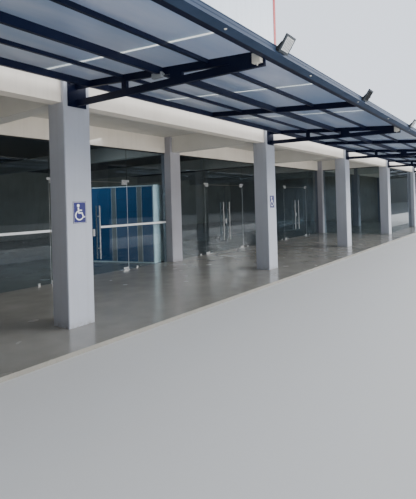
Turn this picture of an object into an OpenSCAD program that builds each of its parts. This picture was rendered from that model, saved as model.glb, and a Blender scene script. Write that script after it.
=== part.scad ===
// Single-storey supermarket in a row: an arcade of square columns, a frameless glass
// shopfront with pairs of glass doors, a tapered steel canopy and a roof sign.
// Units are millimetres. X runs along the front, Y goes into the building from the
// front faces of the outer columns, Z goes up from the underside of the floor slab.

/* [Bays] */
// Number of bays along the front
bay_count = 6; // [4:1:7]
// Distance between the centre lines of neighbouring columns
bay = 5220; // [4600:10:6400]
// Clear depth of the shop from the glass to the rear wall
shop_depth = 12000; // [8000:100:20000]

/* [Floor] */
// Height of the floor above the ground
slab_t = 50; // [40:5:120]
// How far the arcade floor runs out in front of the columns
floor_lip = 750; // [400:10:1500]

/* [Columns] */
// Width of a column along the front
col_w = 400; // [300:10:500]
// Depth of a column
col_d = 340; // [280:10:500]
// Front face of the inner columns, behind the front faces of the outer ones
inner_y = 2880; // [2200:10:3600]
// Bevel on the columns' upright edges
col_bevel = 10; // [2:1:20]

/* [Beams and ceiling] */
// How far the front beam sits back from the columns' front faces
beam_set = 50; // [20:5:90]
// Thickness of the front beam and of the parapet above it
beam_t = 210; // [150:10:250]
// Underside of the front beam above the floor
beam_z = 2870; // [2500:10:3100]
// Width of a cross beam
xbeam_w = 250; // [180:10:290]
// Underside of the cross beams above the floor
xbeam_z = 2915; // [2500:5:3100]
// Underside of the lintel over the shopfront above the floor
lintel_z = 2910; // [2600:10:3100]
// Thickness of the lintel
lintel_t = 150; // [120:10:180]
// Underside of the arcade ceiling above the floor
ceiling_z = 3330; // [3200:10:3800]
// Thickness of the ceiling slab and of the roof deck
ceiling_t = 120; // [80:10:200]

/* [Walls and parapet] */
// Thickness of the side and rear walls
wall_t = 200; // [120:10:200]
// Top of the parapet above the floor
parapet_z = 4650; // [4000:10:5200]
// Height of the coping
coping_h = 50; // [30:5:100]
// How far the coping overhangs the parapet on each side
coping_lip = 30; // [10:5:60]
// Width of the sealed joint between two copings
coping_joint = 4; // [2:1:10]

/* [Shopfront] */
// First bay, counted from the left, whose glass stands forward between the outer columns
forward_bay = 5; // [5:1:8]
// Distance of the glass plane from the inner columns' front faces
glass_in = 225; // [215:5:250]
// Thickness of the glass
glass_t = 10; // [8:1:15]
// Half the width of a pair of doors
pair_half = 1050; // [850:10:1250]
// Height of the top edge of the door leaves above the floor
leaf_top = 2090; // [1950:10:2300]
// Joint between two sheets of fixed glass
glass_gap = 8; // [6:1:12]
// Gap between the meeting edges of two leaves
meeting_gap = 10; // [10:1:16]
// Gap under, over and beside a leaf
leaf_gap = 10; // [8:1:14]
// Width and height of the channels that hold the fixed glass
channel = 30; // [25:1:40]
// Play of the glass in the channels, on each side
channel_play = 0.5; // [0.2:0.1:2]
// Side of the small clamps at the foot of the fixed glass beside the doors
clamp_h = 45; // [35:5:60]
// Distance of those clamps from the edge of the pair of doors
clamp_x = 250; // [120:10:400]

/* [Door furniture] */
// Distance of a leaf's pivot line from its outer edge
pivot_in = 60; // [50:1:75]
// Length of a patch fitting
patch_l = 160; // [130:5:200]
// Height of a patch fitting
patch_h = 50; // [40:2:60]
// Thickness of a patch fitting across the glass
patch_t = 32; // [28:1:36]
// Length of the part of a fixed patch that clamps the glass beside the door
patch_tail = 55; // [30:5:80]
// Diameter of a pull handle
pull_d = 32; // [25:1:40]
// Length of a pull handle
pull_len = 1200; // [900:10:1500]
// Middle of the pull handles above the floor
pull_z = 950; // [850:10:1050]
// Distance of the pull handles from the middle of the pair
pull_x = 165; // [90:5:250]
// Distance of a handle's centre line from the face of the glass
pull_off = 55; // [45:5:70]
// Diameter of a handle's stand-offs
stand_d = 16; // [13:1:20]
// Width of the lock case
lock_w = 55; // [40:5:80]
// Height of the lock case
lock_h = 155; // [100:5:180]
// Distance of the lock case from the leaf's meeting edge
lock_in = 3; // [0:1:10]
// Diameter of the pivot pins
pin_d = 18; // [13:1:22]
// Length of a pivot pin inside its patch
pin_in = 20; // [12:1:30]
// Clearance round and past the end of a pivot pin
pin_play = 0.1; // [0.05:0.05:0.3]
// Length of a floor spring's cover plate
spring_l = 280; // [220:10:320]
// Width of a floor spring's cover plate
spring_w = 100; // [80:5:130]
// Height of a floor spring's cover plate above the floor
spring_h = 3; // [1:0.5:3]

/* [Canopy] */
// Upper face of the canopy trusses at the columns, above the floor
canopy_z = 3145; // [3050:5:3250]
// Fall of the canopy, as a rise over run
canopy_fall = 0.085; // [0.06:0.005:0.12]
// How far the trusses reach out from the columns
truss_reach = 2770; // [2700:10:3200]
// Width of a chord tube
chord_w = 40; // [30:5:60]
// Height of a chord tube
chord_h = 80; // [60:5:90]
// Underside of the lower chord at the columns, above the floor
lower_z = 2840; // [2750:5:2900]
// Fall of the lower chord
lower_fall = 0.025; // [0:0.005:0.05]
// Distance of the upright between the chords from the columns
post_y = 920; // [600:10:1200]
// Distance of the gusset between the chords from the columns
gusset_y = 1720; // [1400:10:2000]
// Length of the gusset along the truss
gusset_l = 160; // [80:10:240]
// Thickness of the plate that holds a truss to its column
plate_t = 12; // [8:1:20]
// Width of that plate
plate_w = 280; // [200:10:290]
// How far that plate stands over the upper chord and under the lower one
plate_lip = 15; // [5:5:40]
// Distance of the wall purlin from the columns
purlin_first = 275; // [200:5:320]
// Distance between two purlins
purlin_step = 620; // [550:5:680]
// Width of the wall purlin and of the middle purlin
deep_purlin_w = 50; // [40:5:60]
// Width and height of the two light purlins
light_purlin = 40; // [30:5:50]
// Width of the front edge beam
edge_w = 60; // [50:5:80]
// Thickness of the seal strips between the steel and the roofing sheets
sheet_seal = 0.3; // [0.1:0.1:1]
// Thickness of the roofing sheets
sheet_t = 10; // [8:1:16]
// Width of one roofing sheet with its joint
sheet_w = 2000; // [1000:10:2400]
// Distance of the first sheet joint from the canopy's left end
sheet_first = 814; // [400:1:2000]
// Width of the joint between two sheets
sheet_gap = 36; // [16:1:40]
// How far the sheets drip over the gutter
sheet_drip = 20; // [10:5:40]
// Width of the caps that clamp the sheets
cap_w = 70; // [50:5:90]
// Thickness of those caps
cap_t = 4; // [3:1:8]
// Width of the gutter
gutter_w = 100; // [80:5:150]
// Height of the gutter
gutter_h = 60; // [50:5:70]
// Width of the gutter's returned front lip
gutter_lip = 15; // [10:1:25]
// Thickness of the gutter's sheet metal
gutter_t = 3; // [2:0.5:6]

/* [Floodlights] */
// Width of a floodlight
light_w = 170; // [120:10:300]
// Height of a floodlight
light_h = 160; // [120:5:250]
// Depth of a floodlight
light_t = 25; // [20:5:60]
// Tilt of the floodlights from upright, away from the building
light_tilt = 35; // [0:1:60]
// Distance of a floodlight's lower inner edge from the gutter
light_off = 6; // [5:1:60]
// Height of that edge above the gutter's underside
light_up = 20; // [10:5:60]
// How far the middle floodlight stands left of the middle of its bay
light_shift = 200; // [0:10:400]
// Thickness of a floodlight's bracket
bracket_t = 3; // [3:1:8]
// Height of the bracket's strap on the gutter
strap_h = 24; // [20:2:50]
// Depth of a junction box, out from the side of its truss or rafter
box_t = 50; // [30:5:80]
// Length of a junction box along its truss
box_l = 85; // [60:5:150]
// Height of a junction box
box_h = 90; // [60:5:110]
// Distance of the junction boxes from the truss tips
box_in = 10; // [0:5:60]
// How far the junction boxes hang below the edge beam
box_drop = 35; // [0:5:60]

/* [Sign and plates] */
// Width of the roof sign
sign_w = 6440; // [4000:10:8000]
// Height of the roof sign
sign_h = 2400; // [1500:10:3000]
// Thickness of the sign panel
sign_t = 120; // [80:5:160]
// How far the border stands proud of the panel on each side
border_proud = 10; // [5:5:30]
// Width of the sign's border
border_w = 100; // [60:5:150]
// Underside of the sign above the coping
sign_lift = 200; // [100:10:400]
// Side of the square posts that hold the sign
post_w = 80; // [50:5:80]
// Distance of the outer posts from the sign's ends
post_in = 400; // [200:10:800]
// Width of the plates on the columns
access_w = 200; // [100:10:280]
// Height of those plates
access_h = 280; // [100:10:400]
// Thickness of those plates
access_t = 4; // [2:1:8]
// Middle of the first plate above the floor
access_z = 1465; // [1200:5:1800]
// How much higher the second plate is fixed
access_rise = 65; // [0:5:200]

/* [Screen inside the entrance] */
// Length of the panelled screen, into the shop
screen_l = 2760; // [2000:20:3500]
// Depth of the screen
screen_d = 600; // [400:10:800]
// Height of the screen
screen_h = 2060; // [1600:10:2400]
// How far the screen stands askew from square, in degrees
screen_skew = 16; // [0:1:25]
// Distance of its front corner from the middle of the doors
screen_x = 2050; // [1500:10:2100]
// Distance of that corner from the middle of the glass
screen_in = 95; // [80:5:600]
// Width of the posts between the screen's panels
screen_post = 150; // [60:10:200]
// Width of the screen's edges beside, under and over the panels
screen_edge = 30; // [20:5:60]
// How far the panels lie back between the posts
panel_set = 8; // [4:1:20]
// Thickness of the panels
panel_t = 20; // [12:1:30]
// Play of the panels in their fields, on each side and behind
panel_play = 0.3; // [0.1:0.1:0.9]

/* [Hidden] */

// The bays that have a pair of doors, and the columns that carry a plate, counted from 0
door_bays = [1, 2, 3];
plate_columns = [1, 2];
// The bay that the sign stands over
sign_bay = 1;
// Sides of a round pin or bar in a preview
round_fn = 32;
// How far a cut runs past a face
cut = 1;

floor_z = slab_t;
half_len = bay_count * bay / 2;
outer_x = half_len + col_w / 2;
inner_back = inner_y + col_d;
glass_y = inner_y + glass_in;
rear_in = glass_y + shop_depth;
rear_out = rear_in + wall_t;
parapet_top = floor_z + parapet_z;
coping_top = parapet_top + coping_h;
deck_z = floor_z + ceiling_z;
deck_top = deck_z + ceiling_t;
beam_back = beam_set + beam_t;
bay_half = (bay - col_w) / 2;
head_z = floor_z + lintel_z;
leaf_low = floor_z + leaf_gap;
leaf_high = floor_z + leaf_top;
transom_low = leaf_high + leaf_gap;
end_line = truss_reach + edge_w;

function col_x(i) = i * bay - half_len;
function bay_x(k) = col_x(k) + bay / 2;
function is_door_bay(k) = len(search(k, door_bays)) > 0;
// Bays from forward_bay on are glazed between the outer columns, under the front beam
function is_forward(k) = k >= forward_bay - 1;
function bay_glass_y(k) = is_forward(k) ? beam_set + beam_t / 2 : glass_y;
function bay_head_z(k) = is_forward(k) ? floor_z + beam_z : head_z;
function canopy_top(y) = floor_z + canopy_z + canopy_fall * y;
function lower_edge(y) = floor_z + lower_z + lower_fall * y;

// A straight block given by its lowest and highest corners
module block(low, high) {
    translate(low)
        cube(high - low);
}

// An outline drawn in the Y-Z plane, made into a bar of width w centred on x
module bar_along_x(x, w, outline) {
    translate([x + w / 2, 0, 0])
        rotate([90, 0, -90])
            linear_extrude(w)
                polygon([for (p = outline) [-p[0], p[1]]]);
}

// A bar from far to near whose upper face lies in the slope of the canopy
module sloping_bar(x, w, far, near, h) {
    bar_along_x(x, w, [[near, canopy_top(near)], [far, canopy_top(far)],
        [far, canopy_top(far) - h], [near, canopy_top(near) - h]]);
}

// Square column with bevelled upright edges
module column(x, y, top) {
    b = col_bevel;
    w = col_w / 2;
    translate([x, y, floor_z])
        linear_extrude(top - floor_z)
            polygon([[b - w, 0], [w - b, 0], [w, b], [w, col_d - b],
                [w - b, col_d], [b - w, col_d], [-w, col_d - b], [-w, b]]);
}

// Where the glass of bay k stands in a floor channel, from the middle of the bay
function channel_runs(k) = is_door_bay(k) ?
    [[-bay_half, -pair_half], [pair_half, bay_half]] : [[-bay_half, bay_half]];

// Turns what is drawn along the shopfront to run across the arcade, from the outer to the
// inner column, where the glass steps forward
module across_arcade() {
    if (forward_bay <= bay_count)
        translate([col_x(forward_bay - 1), 0, 0])
            rotate([0, 0, 90])
                translate([0, -glass_y, 0])
                    children();
}

// Groove in the slab for a floor channel
module channel_groove(x0, x1) {
    block([x0, glass_y - channel / 2, floor_z - channel],
        [x1, glass_y + channel / 2, floor_z + cut]);
}

// Slab with grooves for the floor channels
module floor_slab() {
    color("gray")
        difference() {
            block([-outer_x, -floor_lip, 0], [outer_x, rear_out, slab_t]);
            for (k = [0 : bay_count - 1], run = channel_runs(k))
                translate([bay_x(k), bay_glass_y(k) - glass_y, 0])
                    channel_groove(run[0], run[1]);
            across_arcade()
                channel_groove(col_d, inner_y);
        }
}

module outer_columns() {
    color("lightgray")
        for (i = [0 : bay_count])
            column(col_x(i), 0, parapet_top);
}

module inner_columns() {
    color("lightgray")
        for (i = [0 : bay_count])
            column(col_x(i), inner_y, deck_z);
}

// One beam between each two outer columns, up to the top of the ceiling slab
module front_beams() {
    color("beige")
        for (k = [0 : bay_count - 1])
            block([col_x(k) + col_w / 2, beam_set, floor_z + beam_z],
                [col_x(k + 1) - col_w / 2, beam_back, deck_top]);
}

// Beams from each outer column to the inner one behind it, and on through the shop to
// the rear wall under the roof deck
module cross_beams() {
    color("lightgray")
        for (i = [0 : bay_count]) {
            left = col_x(i) - xbeam_w / 2;
            right = col_x(i) + xbeam_w / 2;
            block([left, col_d, floor_z + xbeam_z], [right, inner_y, deck_z]);
            if (i > 0 && i < bay_count)
                block([left, inner_back, floor_z + xbeam_z], [right, rear_in, deck_z]);
        }
}

module shopfront_lintels() {
    color("beige")
        for (k = [0 : bay_count - 1])
            block([col_x(k) + col_w / 2, inner_back - lintel_t, head_z],
                [col_x(k + 1) - col_w / 2, inner_back, deck_z]);
}

// Slab over the arcade, notched round the outer columns, which run on up to the parapet
module arcade_ceiling() {
    color("gainsboro")
        difference() {
            block([-outer_x, beam_back, deck_z], [outer_x, inner_back, deck_top]);
            for (i = [0 : bay_count])
                block([col_x(i) - col_w / 2, beam_back - cut, deck_z - cut],
                    [col_x(i) + col_w / 2, col_d, deck_top + cut]);
        }
}

module front_parapet() {
    color("beige")
        for (k = [0 : bay_count - 1])
            block([col_x(k) + col_w / 2, beam_set, deck_top],
                [col_x(k + 1) - col_w / 2, beam_back, parapet_top]);
}

// Side walls of the shop, with the parapets that run on forward over the arcade
module party_walls() {
    color("antiquewhite")
        for (side = [-1, 1])
            bar_along_x(side * (outer_x - wall_t / 2), wall_t,
                [[inner_back, floor_z], [rear_in, floor_z], [rear_in, parapet_top],
                    [col_d, parapet_top], [col_d, deck_top], [inner_back, deck_top]]);
}

// Plain walls that close the two ends of the arcade
module arcade_end_walls() {
    color("antiquewhite")
        for (side = [-1, 1])
            block([side * half_len - wall_t / 2, col_d, floor_z],
                [side * half_len + wall_t / 2, inner_y, floor_z + xbeam_z]);
}

module rear_wall() {
    color("antiquewhite")
        block([-outer_x, rear_in, floor_z], [outer_x, rear_out, parapet_top]);
}

// Four straight copings with a sealed joint at each corner
module parapet_copings() {
    front_in = col_d + coping_lip;
    rear_edge = rear_in - coping_lip;
    color("silver") {
        block([-outer_x - coping_lip, -coping_lip, parapet_top],
            [outer_x + coping_lip, front_in, coping_top]);
        block([-outer_x - coping_lip, rear_edge, parapet_top],
            [outer_x + coping_lip, rear_out + coping_lip, coping_top]);
        for (side = [0, 1])
            mirror([side, 0, 0])
                block([outer_x - wall_t - coping_lip, front_in + coping_joint, parapet_top],
                    [outer_x + coping_lip, rear_edge - coping_joint, coping_top]);
    }
}

module roof_deck() {
    color("dimgray")
        block([wall_t - outer_x, inner_back, deck_z], [outer_x - wall_t, rear_in, deck_top]);
}

// Steel plates bolted to the columns, a little taller than the trusses
module canopy_wall_plates() {
    color("midnightblue")
        for (i = [0 : bay_count])
            block([col_x(i) - plate_w / 2, -plate_t, floor_z + lower_z - plate_lip],
                [col_x(i) + plate_w / 2, 0, floor_z + canopy_z + plate_lip]);
}

module lower_chord(x) {
    near = -plate_t;
    far = -truss_reach;
    bar_along_x(x, chord_w, [[near, lower_edge(near)], [far, lower_edge(far)],
        [far, lower_edge(far) + chord_h], [near, lower_edge(near) + chord_h]]);
}

// Upright of length w between the middles of the chords, cut to the slope of both
module truss_web(x, y, w) {
    far = -y - w / 2;
    near = -y + w / 2;
    sink = chord_h / 2;
    bar_along_x(x, chord_w, [[far, lower_edge(far) + sink], [near, lower_edge(near) + sink],
        [near, canopy_top(near) - sink], [far, canopy_top(far) - sink]]);
}

// Tapered cantilever trusses: two chords that close towards the tip, an upright and
// a gusset between them
module canopy_trusses() {
    color("midnightblue")
        for (i = [0 : bay_count])
            union() {
                sloping_bar(col_x(i), chord_w, -truss_reach, -plate_t, chord_h);
                lower_chord(col_x(i));
                truss_web(col_x(i), post_y, chord_h);
                truss_web(col_x(i), gusset_y, gusset_l);
            }
}

wall_edge = -purlin_first + deep_purlin_w / 2;

// Single rafters halfway between the trusses, from the wall purlin to the edge beam
module canopy_rafters() {
    color("midnightblue")
        for (k = [0 : bay_count - 1])
            sloping_bar(bay_x(k), chord_w, -truss_reach, wall_edge, chord_h);
}

// Width and height of each purlin, in order from the wall
purlin_sizes = [[deep_purlin_w, chord_h], [light_purlin, light_purlin],
    [deep_purlin_w, chord_h], [light_purlin, light_purlin]];

module purlin_piece(x0, x1, j) {
    w = purlin_sizes[j][0];
    y = -purlin_first - j * purlin_step;
    sloping_bar((x0 + x1) / 2, x1 - x0, y - w / 2, y + w / 2, purlin_sizes[j][1]);
}

// Each purlin is cut between the trusses and the rafters and welded to their sides
module canopy_purlins() {
    color("midnightblue")
        for (k = [0 : bay_count - 1], j = [0 : len(purlin_sizes) - 1]) {
            purlin_piece(col_x(k) + chord_w / 2, bay_x(k) - chord_w / 2, j);
            purlin_piece(bay_x(k) + chord_w / 2, col_x(k + 1) - chord_w / 2, j);
        }
}

edge_low = canopy_top(-truss_reach) - chord_h;

// Beam across the tips of the trusses, level underneath and sloped on top
module canopy_edge_beam() {
    color("midnightblue")
        bar_along_x(0, 2 * outer_x,
            [[-end_line, canopy_top(-end_line)], [-truss_reach, canopy_top(-truss_reach)],
                [-truss_reach, edge_low], [-end_line, edge_low]]);
}

joint_count = floor((2 * outer_x - sheet_first - sheet_gap) / sheet_w) + 1;
sheet_far = -end_line - sheet_drip;

function joint_x(n) = -outer_x + sheet_first + n * sheet_w;

// A layer that follows the slope of the canopy, between the heights low and high above
// the seals
module canopy_layer(x0, x1, low, high) {
    near = canopy_top(wall_edge) + sheet_seal;
    far = canopy_top(sheet_far) + sheet_seal;
    bar_along_x((x0 + x1) / 2, x1 - x0, [[wall_edge, near + low], [sheet_far, far + low],
        [sheet_far, far + high], [wall_edge, near + high]]);
}

// Translucent sheets laid on the purlins, with a joint between each two
module canopy_sheets() {
    color("slategray", 0.6)
        for (n = [0 : joint_count]) {
            left = n == 0 ? -outer_x : joint_x(n - 1) + sheet_gap / 2;
            right = n == joint_count ? outer_x : joint_x(n) - sheet_gap / 2;
            canopy_layer(left, right, 0, sheet_t);
        }
}

// T-shaped strips that fill the joints and clamp the sheets from above
module sheet_joint_strips() {
    top = sheet_t + cap_t;
    color("silver")
        for (n = [0 : joint_count - 1])
            union() {
                canopy_layer(joint_x(n) - sheet_gap / 2, joint_x(n) + sheet_gap / 2, 0, top);
                canopy_layer(joint_x(n) - cap_w / 2, joint_x(n) + cap_w / 2, sheet_t, top);
            }
}

gutter_front = -end_line - gutter_w;

// Open box gutter along the edge beam, with a returned lip and closed ends
module canopy_gutter() {
    back = -end_line;
    t = gutter_t;
    top = edge_low + gutter_h;
    color("slategray")
        union() {
            bar_along_x(0, 2 * outer_x,
                [[back, edge_low], [gutter_front, edge_low], [gutter_front, top],
                    [gutter_front + gutter_lip, top], [gutter_front + gutter_lip, top - t],
                    [gutter_front + t, top - t], [gutter_front + t, edge_low + t],
                    [back - t, edge_low + t], [back - t, top], [back, top]]);
            for (side = [-1, 1])
                bar_along_x(side * (outer_x - t / 2), t, [[back, edge_low],
                    [gutter_front, edge_low], [gutter_front, top], [back, top]]);
        }
}

// A floodlight under each end of the sign and one near its middle
light_xs = [col_x(sign_bay), bay_x(sign_bay) - light_shift, col_x(sign_bay + 1)];
// Lower inner edge of a floodlight, about which it is tilted
light_edge = [gutter_front - light_off, edge_low + light_up];
// Middle of a floodlight's side, where its bracket holds it
light_hub = [light_edge[0] - sin(light_tilt) * light_h / 2 - cos(light_tilt) * light_t / 2,
    light_edge[1] + cos(light_tilt) * light_h / 2 - sin(light_tilt) * light_t / 2];

// U-shaped brackets: a strap on the gutter's front and two arms up to the lamp's sides
module floodlight_brackets() {
    r = strap_h / 3;
    strap_low = edge_low + (gutter_h - strap_h) / 2;
    color("dimgray")
        for (x = light_xs)
            union() {
                block([x - light_w / 2 - bracket_t, gutter_front - bracket_t, strap_low],
                    [x + light_w / 2 + bracket_t, gutter_front, strap_low + strap_h]);
                for (side = [-1, 1])
                    bar_along_x(x + side * (light_w + bracket_t) / 2, bracket_t,
                        [[gutter_front, strap_low], [gutter_front, strap_low + strap_h],
                            [light_hub[0] + r, light_hub[1] + r],
                            [light_hub[0] - r, light_hub[1] + r],
                            [light_hub[0] - r, light_hub[1] - r]]);
            }
}

// Flat floodlight heads that lean out over the forecourt
module floodlights() {
    color("darkgray")
        for (x = light_xs)
            translate([x, light_edge[0], light_edge[1]])
                rotate([light_tilt, 0, 0])
                    block([-light_w / 2, -light_t, 0], [light_w / 2, 0, light_h]);
}

// Boxes on the left side of the two trusses that floodlights stand by
module junction_boxes() {
    far = -truss_reach + box_in;
    low = edge_low - box_drop;
    color("white")
        for (i = [sign_bay, sign_bay + 1])
            block([col_x(i) - chord_w / 2 - box_t, far, low],
                [col_x(i) - chord_w / 2, far + box_l, low + box_h]);
}

sign_x = bay_x(sign_bay);
sign_y = beam_set + beam_t / 2;
sign_low = coping_top + sign_lift;
sign_back = sign_y + sign_t / 2 + border_proud;

module sign_panel() {
    color("white")
        block([sign_x - sign_w / 2 + border_w, sign_y - sign_t / 2, sign_low + border_w],
            [sign_x + sign_w / 2 - border_w, sign_y + sign_t / 2,
                sign_low + sign_h - border_w]);
}

module sign_border() {
    color("firebrick")
        difference() {
            block([sign_x - sign_w / 2, sign_y - sign_t / 2 - border_proud, sign_low],
                [sign_x + sign_w / 2, sign_back, sign_low + sign_h]);
            block([sign_x - sign_w / 2 + border_w, sign_y - sign_t, sign_low + border_w],
                [sign_x + sign_w / 2 - border_w, sign_y + sign_t,
                    sign_low + sign_h - border_w]);
        }
}

// Four posts on the coping behind the sign, joined by two rails
module sign_frame() {
    post_count = 4;
    span = sign_w - 2 * post_in;
    color("gray")
        union() {
            for (n = [0 : post_count - 1]) {
                x = sign_x - span / 2 + n * span / (post_count - 1);
                block([x - post_w / 2, sign_back, coping_top],
                    [x + post_w / 2, sign_back + post_w, sign_low + sign_h]);
            }
            for (z = [sign_low + sign_h / 4, sign_low + sign_h * 3 / 4])
                block([sign_x - span / 2, sign_back + post_w / 4, z - post_w / 4],
                    [sign_x + span / 2, sign_back + post_w * 3 / 4, z + post_w / 4]);
        }
}

// Small plates on the columns beside the accessible parking places
module access_plates() {
    color("royalblue")
        for (n = [0 : len(plate_columns) - 1]) {
            x = col_x(plate_columns[n]);
            z = floor_z + access_z + n * access_rise;
            block([x - access_w / 2, -access_t, z - access_h / 2],
                [x + access_w / 2, 0, z + access_h / 2]);
        }
}

seat = channel / 3;

// A length of channel from the height 0, with its slot open upwards
module glass_channel(x0, x1) {
    slot = glass_t / 2 + channel_play;
    difference() {
        block([x0, glass_y - channel / 2, 0], [x1, glass_y + channel / 2, channel]);
        block([x0 - cut, glass_y - slot, seat], [x1 + cut, glass_y + slot, channel + cut]);
    }
}

// The same turned over, with its back at the height z
module head_channel(x0, x1, z) {
    translate([0, 0, z])
        mirror([0, 0, 1])
            glass_channel(x0, x1);
}

// Channels let into the floor, and head channels under the lintels and beams
module glazing_channels() {
    color("dimgray") {
        for (k = [0 : bay_count - 1])
            translate([bay_x(k), bay_glass_y(k) - glass_y, 0]) {
                head_channel(-bay_half, bay_half, bay_head_z(k));
                for (run = channel_runs(k))
                    translate([0, 0, floor_z - channel])
                        glass_channel(run[0], run[1]);
            }
        across_arcade() {
            head_channel(col_d, inner_y, floor_z + xbeam_z);
            translate([0, 0, floor_z - channel])
                glass_channel(col_d, inner_y);
        }
    }
}

module sheet_of_glass(x0, x1, z0, z1) {
    block([x0, glass_y - glass_t / 2, z0], [x1, glass_y + glass_t / 2, z1]);
}

// Block across the glass plane from x0 to x1 and z0 to z1, t thick
module patch(x0, x1, z0, z1, t = patch_t) {
    block([x0, glass_y - t / 2, z0], [x1, glass_y + t / 2, z1]);
}

// A block in two halves that clamp the glass between them
module clamp(x0, x1, z0, z1) {
    difference() {
        patch(x0, x1, z0, z1);
        patch(x0 - cut, x1 + cut, z0 - cut, z1 + cut, glass_t);
    }
}

// Fixed sheets of toughened glass, from channel to channel, notched for the patches, and
// two sheets across the arcade
module fixed_glass() {
    low = floor_z - channel + seat;
    cross_high = floor_z + xbeam_z - seat;
    middle = (col_d + inner_y) / 2;
    g = glass_gap / 2;
    color("teal", 0.35) {
        for (k = [0 : bay_count - 1], side = [0, 1])
            translate([bay_x(k), bay_glass_y(k) - glass_y, 0])
                mirror([side, 0, 0]) {
                    high = bay_head_z(k) - seat;
                    difference() {
                        sheet_of_glass(pair_half + g, bay_half, low, high);
                        if (is_door_bay(k))
                            patch(pair_half, pair_half + g + patch_tail, transom_low,
                                transom_low + patch_h, 2 * patch_t);
                    }
                    if (!is_door_bay(k))
                        sheet_of_glass(g, pair_half - g, low, high);
                }
        across_arcade() {
            sheet_of_glass(col_d, middle - g, low, cross_high);
            sheet_of_glass(middle + g, inner_y, low, cross_high);
        }
    }
}

module transom_glass() {
    g = glass_gap / 2;
    color("teal", 0.35)
        for (k = door_bays)
            translate([bay_x(k), 0, 0])
                difference() {
                    sheet_of_glass(g - pair_half, pair_half - g, transom_low, head_z - seat);
                    for (side = [0, 1])
                        mirror([side, 0, 0])
                            patch(pair_half - g - patch_l, pair_half, transom_low - cut,
                                transom_low + patch_h, 2 * patch_t);
                }
}

pivot_x = pair_half - leaf_gap - pivot_in;

// An upright pin on the pivot line of the leaf that lies right of its bay's middle
module pivot_pin(z0, z1, d) {
    translate([pivot_x, glass_y, z0])
        cylinder(h = z1 - z0, d = d, $fn = round_fn);
}

// Patches that join the transom to the glass beside the doors, each with the pin that
// the leaf below turns on, and small clamps at the foot of that glass
module fixed_patches() {
    g = glass_gap / 2;
    color("silver")
        for (k = door_bays, side = [0, 1])
            translate([bay_x(k), 0, 0])
                mirror([side, 0, 0]) {
                    union() {
                        patch(pair_half - g - patch_l, pair_half + g + patch_tail,
                            transom_low, transom_low + patch_h);
                        pivot_pin(leaf_high - pin_in, transom_low + cut, pin_d);
                    }
                    clamp(pair_half + clamp_x, pair_half + clamp_x + clamp_h, floor_z,
                        floor_z + clamp_h);
                }
}

// Cover plates of the floor springs, each with the spindle that carries a leaf
module floor_springs() {
    color("silver")
        for (k = door_bays, side = [0, 1])
            translate([bay_x(k), 0, 0])
                mirror([side, 0, 0])
                    union() {
                        block([pair_half - spring_l, glass_y - spring_w / 2, floor_z],
                            [pair_half, glass_y + spring_w / 2, floor_z + spring_h]);
                        pivot_pin(floor_z, leaf_low + pin_in, pin_d);
                    }
}

leaf_in = meeting_gap / 2;
leaf_out = pair_half - leaf_gap;

// Glass of one leaf, notched at its outer corners for the pivot patches
module door_leaf(k, side) {
    color("teal", 0.35)
        translate([bay_x(k), 0, 0])
            mirror([side, 0, 0])
                difference() {
                    sheet_of_glass(leaf_in, leaf_out, leaf_low, leaf_high);
                    patch(leaf_out - patch_l, leaf_out + cut, leaf_low - cut,
                        leaf_low + patch_h, 2 * patch_t);
                    patch(leaf_out - patch_l, leaf_out + cut, leaf_high - patch_h,
                        leaf_high + cut, 2 * patch_t);
                }
}

// One long pull with its two stand-offs, outside the glass for -1 and inside for 1
module pull_handle(face) {
    low = floor_z + pull_z - pull_len / 2;
    translate([pull_x, glass_y + face * glass_t / 2, low])
        union() {
            translate([0, face * pull_off, 0])
                cylinder(h = pull_len, d = pull_d, $fn = round_fn);
            for (z = [pull_len / 5, pull_len * 4 / 5])
                translate([0, 0, z])
                    rotate([-90 * face, 0, 0])
                        cylinder(h = pull_off, d = stand_d, $fn = round_fn);
        }
}

// Lock case near the meeting edge
module lock_case() {
    left = leaf_in + lock_in;
    low = floor_z + pull_z - lock_h / 2;
    clamp(left, left + lock_w, low, low + lock_h);
}

// Pivot patches of one leaf, each bored for its pin
module pivot_patches() {
    bore_d = pin_d + 2 * pin_play;
    bore_l = pin_in + pin_play;
    difference() {
        patch(leaf_out - patch_l, leaf_out, leaf_low, leaf_low + patch_h);
        pivot_pin(leaf_low - cut, leaf_low + bore_l, bore_d);
    }
    difference() {
        patch(leaf_out - patch_l, leaf_out, leaf_high - patch_h, leaf_high);
        pivot_pin(leaf_high - bore_l, leaf_high + cut, bore_d);
    }
}

// Metal parts of one leaf: pivot patches, pull handles and, on a right leaf, the lock
module door_fittings(k, side) {
    color("silver")
        translate([bay_x(k), 0, 0])
            mirror([side, 0, 0]) {
                pivot_patches();
                pull_handle(-1);
                pull_handle(1);
                if (side == 0)
                    lock_case();
            }
}

// Where the screen stands: its own X runs along its end, its own Y along its panels
module on_screen() {
    translate([bay_x(door_bays[0]) + screen_x, glass_y + screen_in, floor_z])
        rotate([0, 0, screen_skew])
            children();
}

// The screen has half a panel by the glass, then whole ones with a post between each two
whole_panels = 3;
panel_w = (screen_l - 2 * screen_edge - whole_panels * screen_post) / (whole_panels + 0.5);

function panel_low(n) = n == 0 ? screen_edge :
    screen_edge + panel_w / 2 + screen_post + (n - 1) * (panel_w + screen_post);

function panel_high(n) = panel_low(n) + (n == 0 ? panel_w / 2 : panel_w);

// The field of each panel in the screen's left face, from its front to its back, less
// some play all round
module panel_fields(front, back, play = 0) {
    for (n = [0 : whole_panels])
        block([front, panel_low(n) + play, screen_edge + play],
            [back - play, panel_high(n) - play, screen_h - screen_edge - play]);
}

// Pale body of the screen
module screen_carcass() {
    color("azure")
        on_screen()
            difference() {
                block([0, 0, 0], [screen_d, screen_l, screen_h]);
                panel_fields(-cut, panel_set + panel_t);
            }
}

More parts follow.
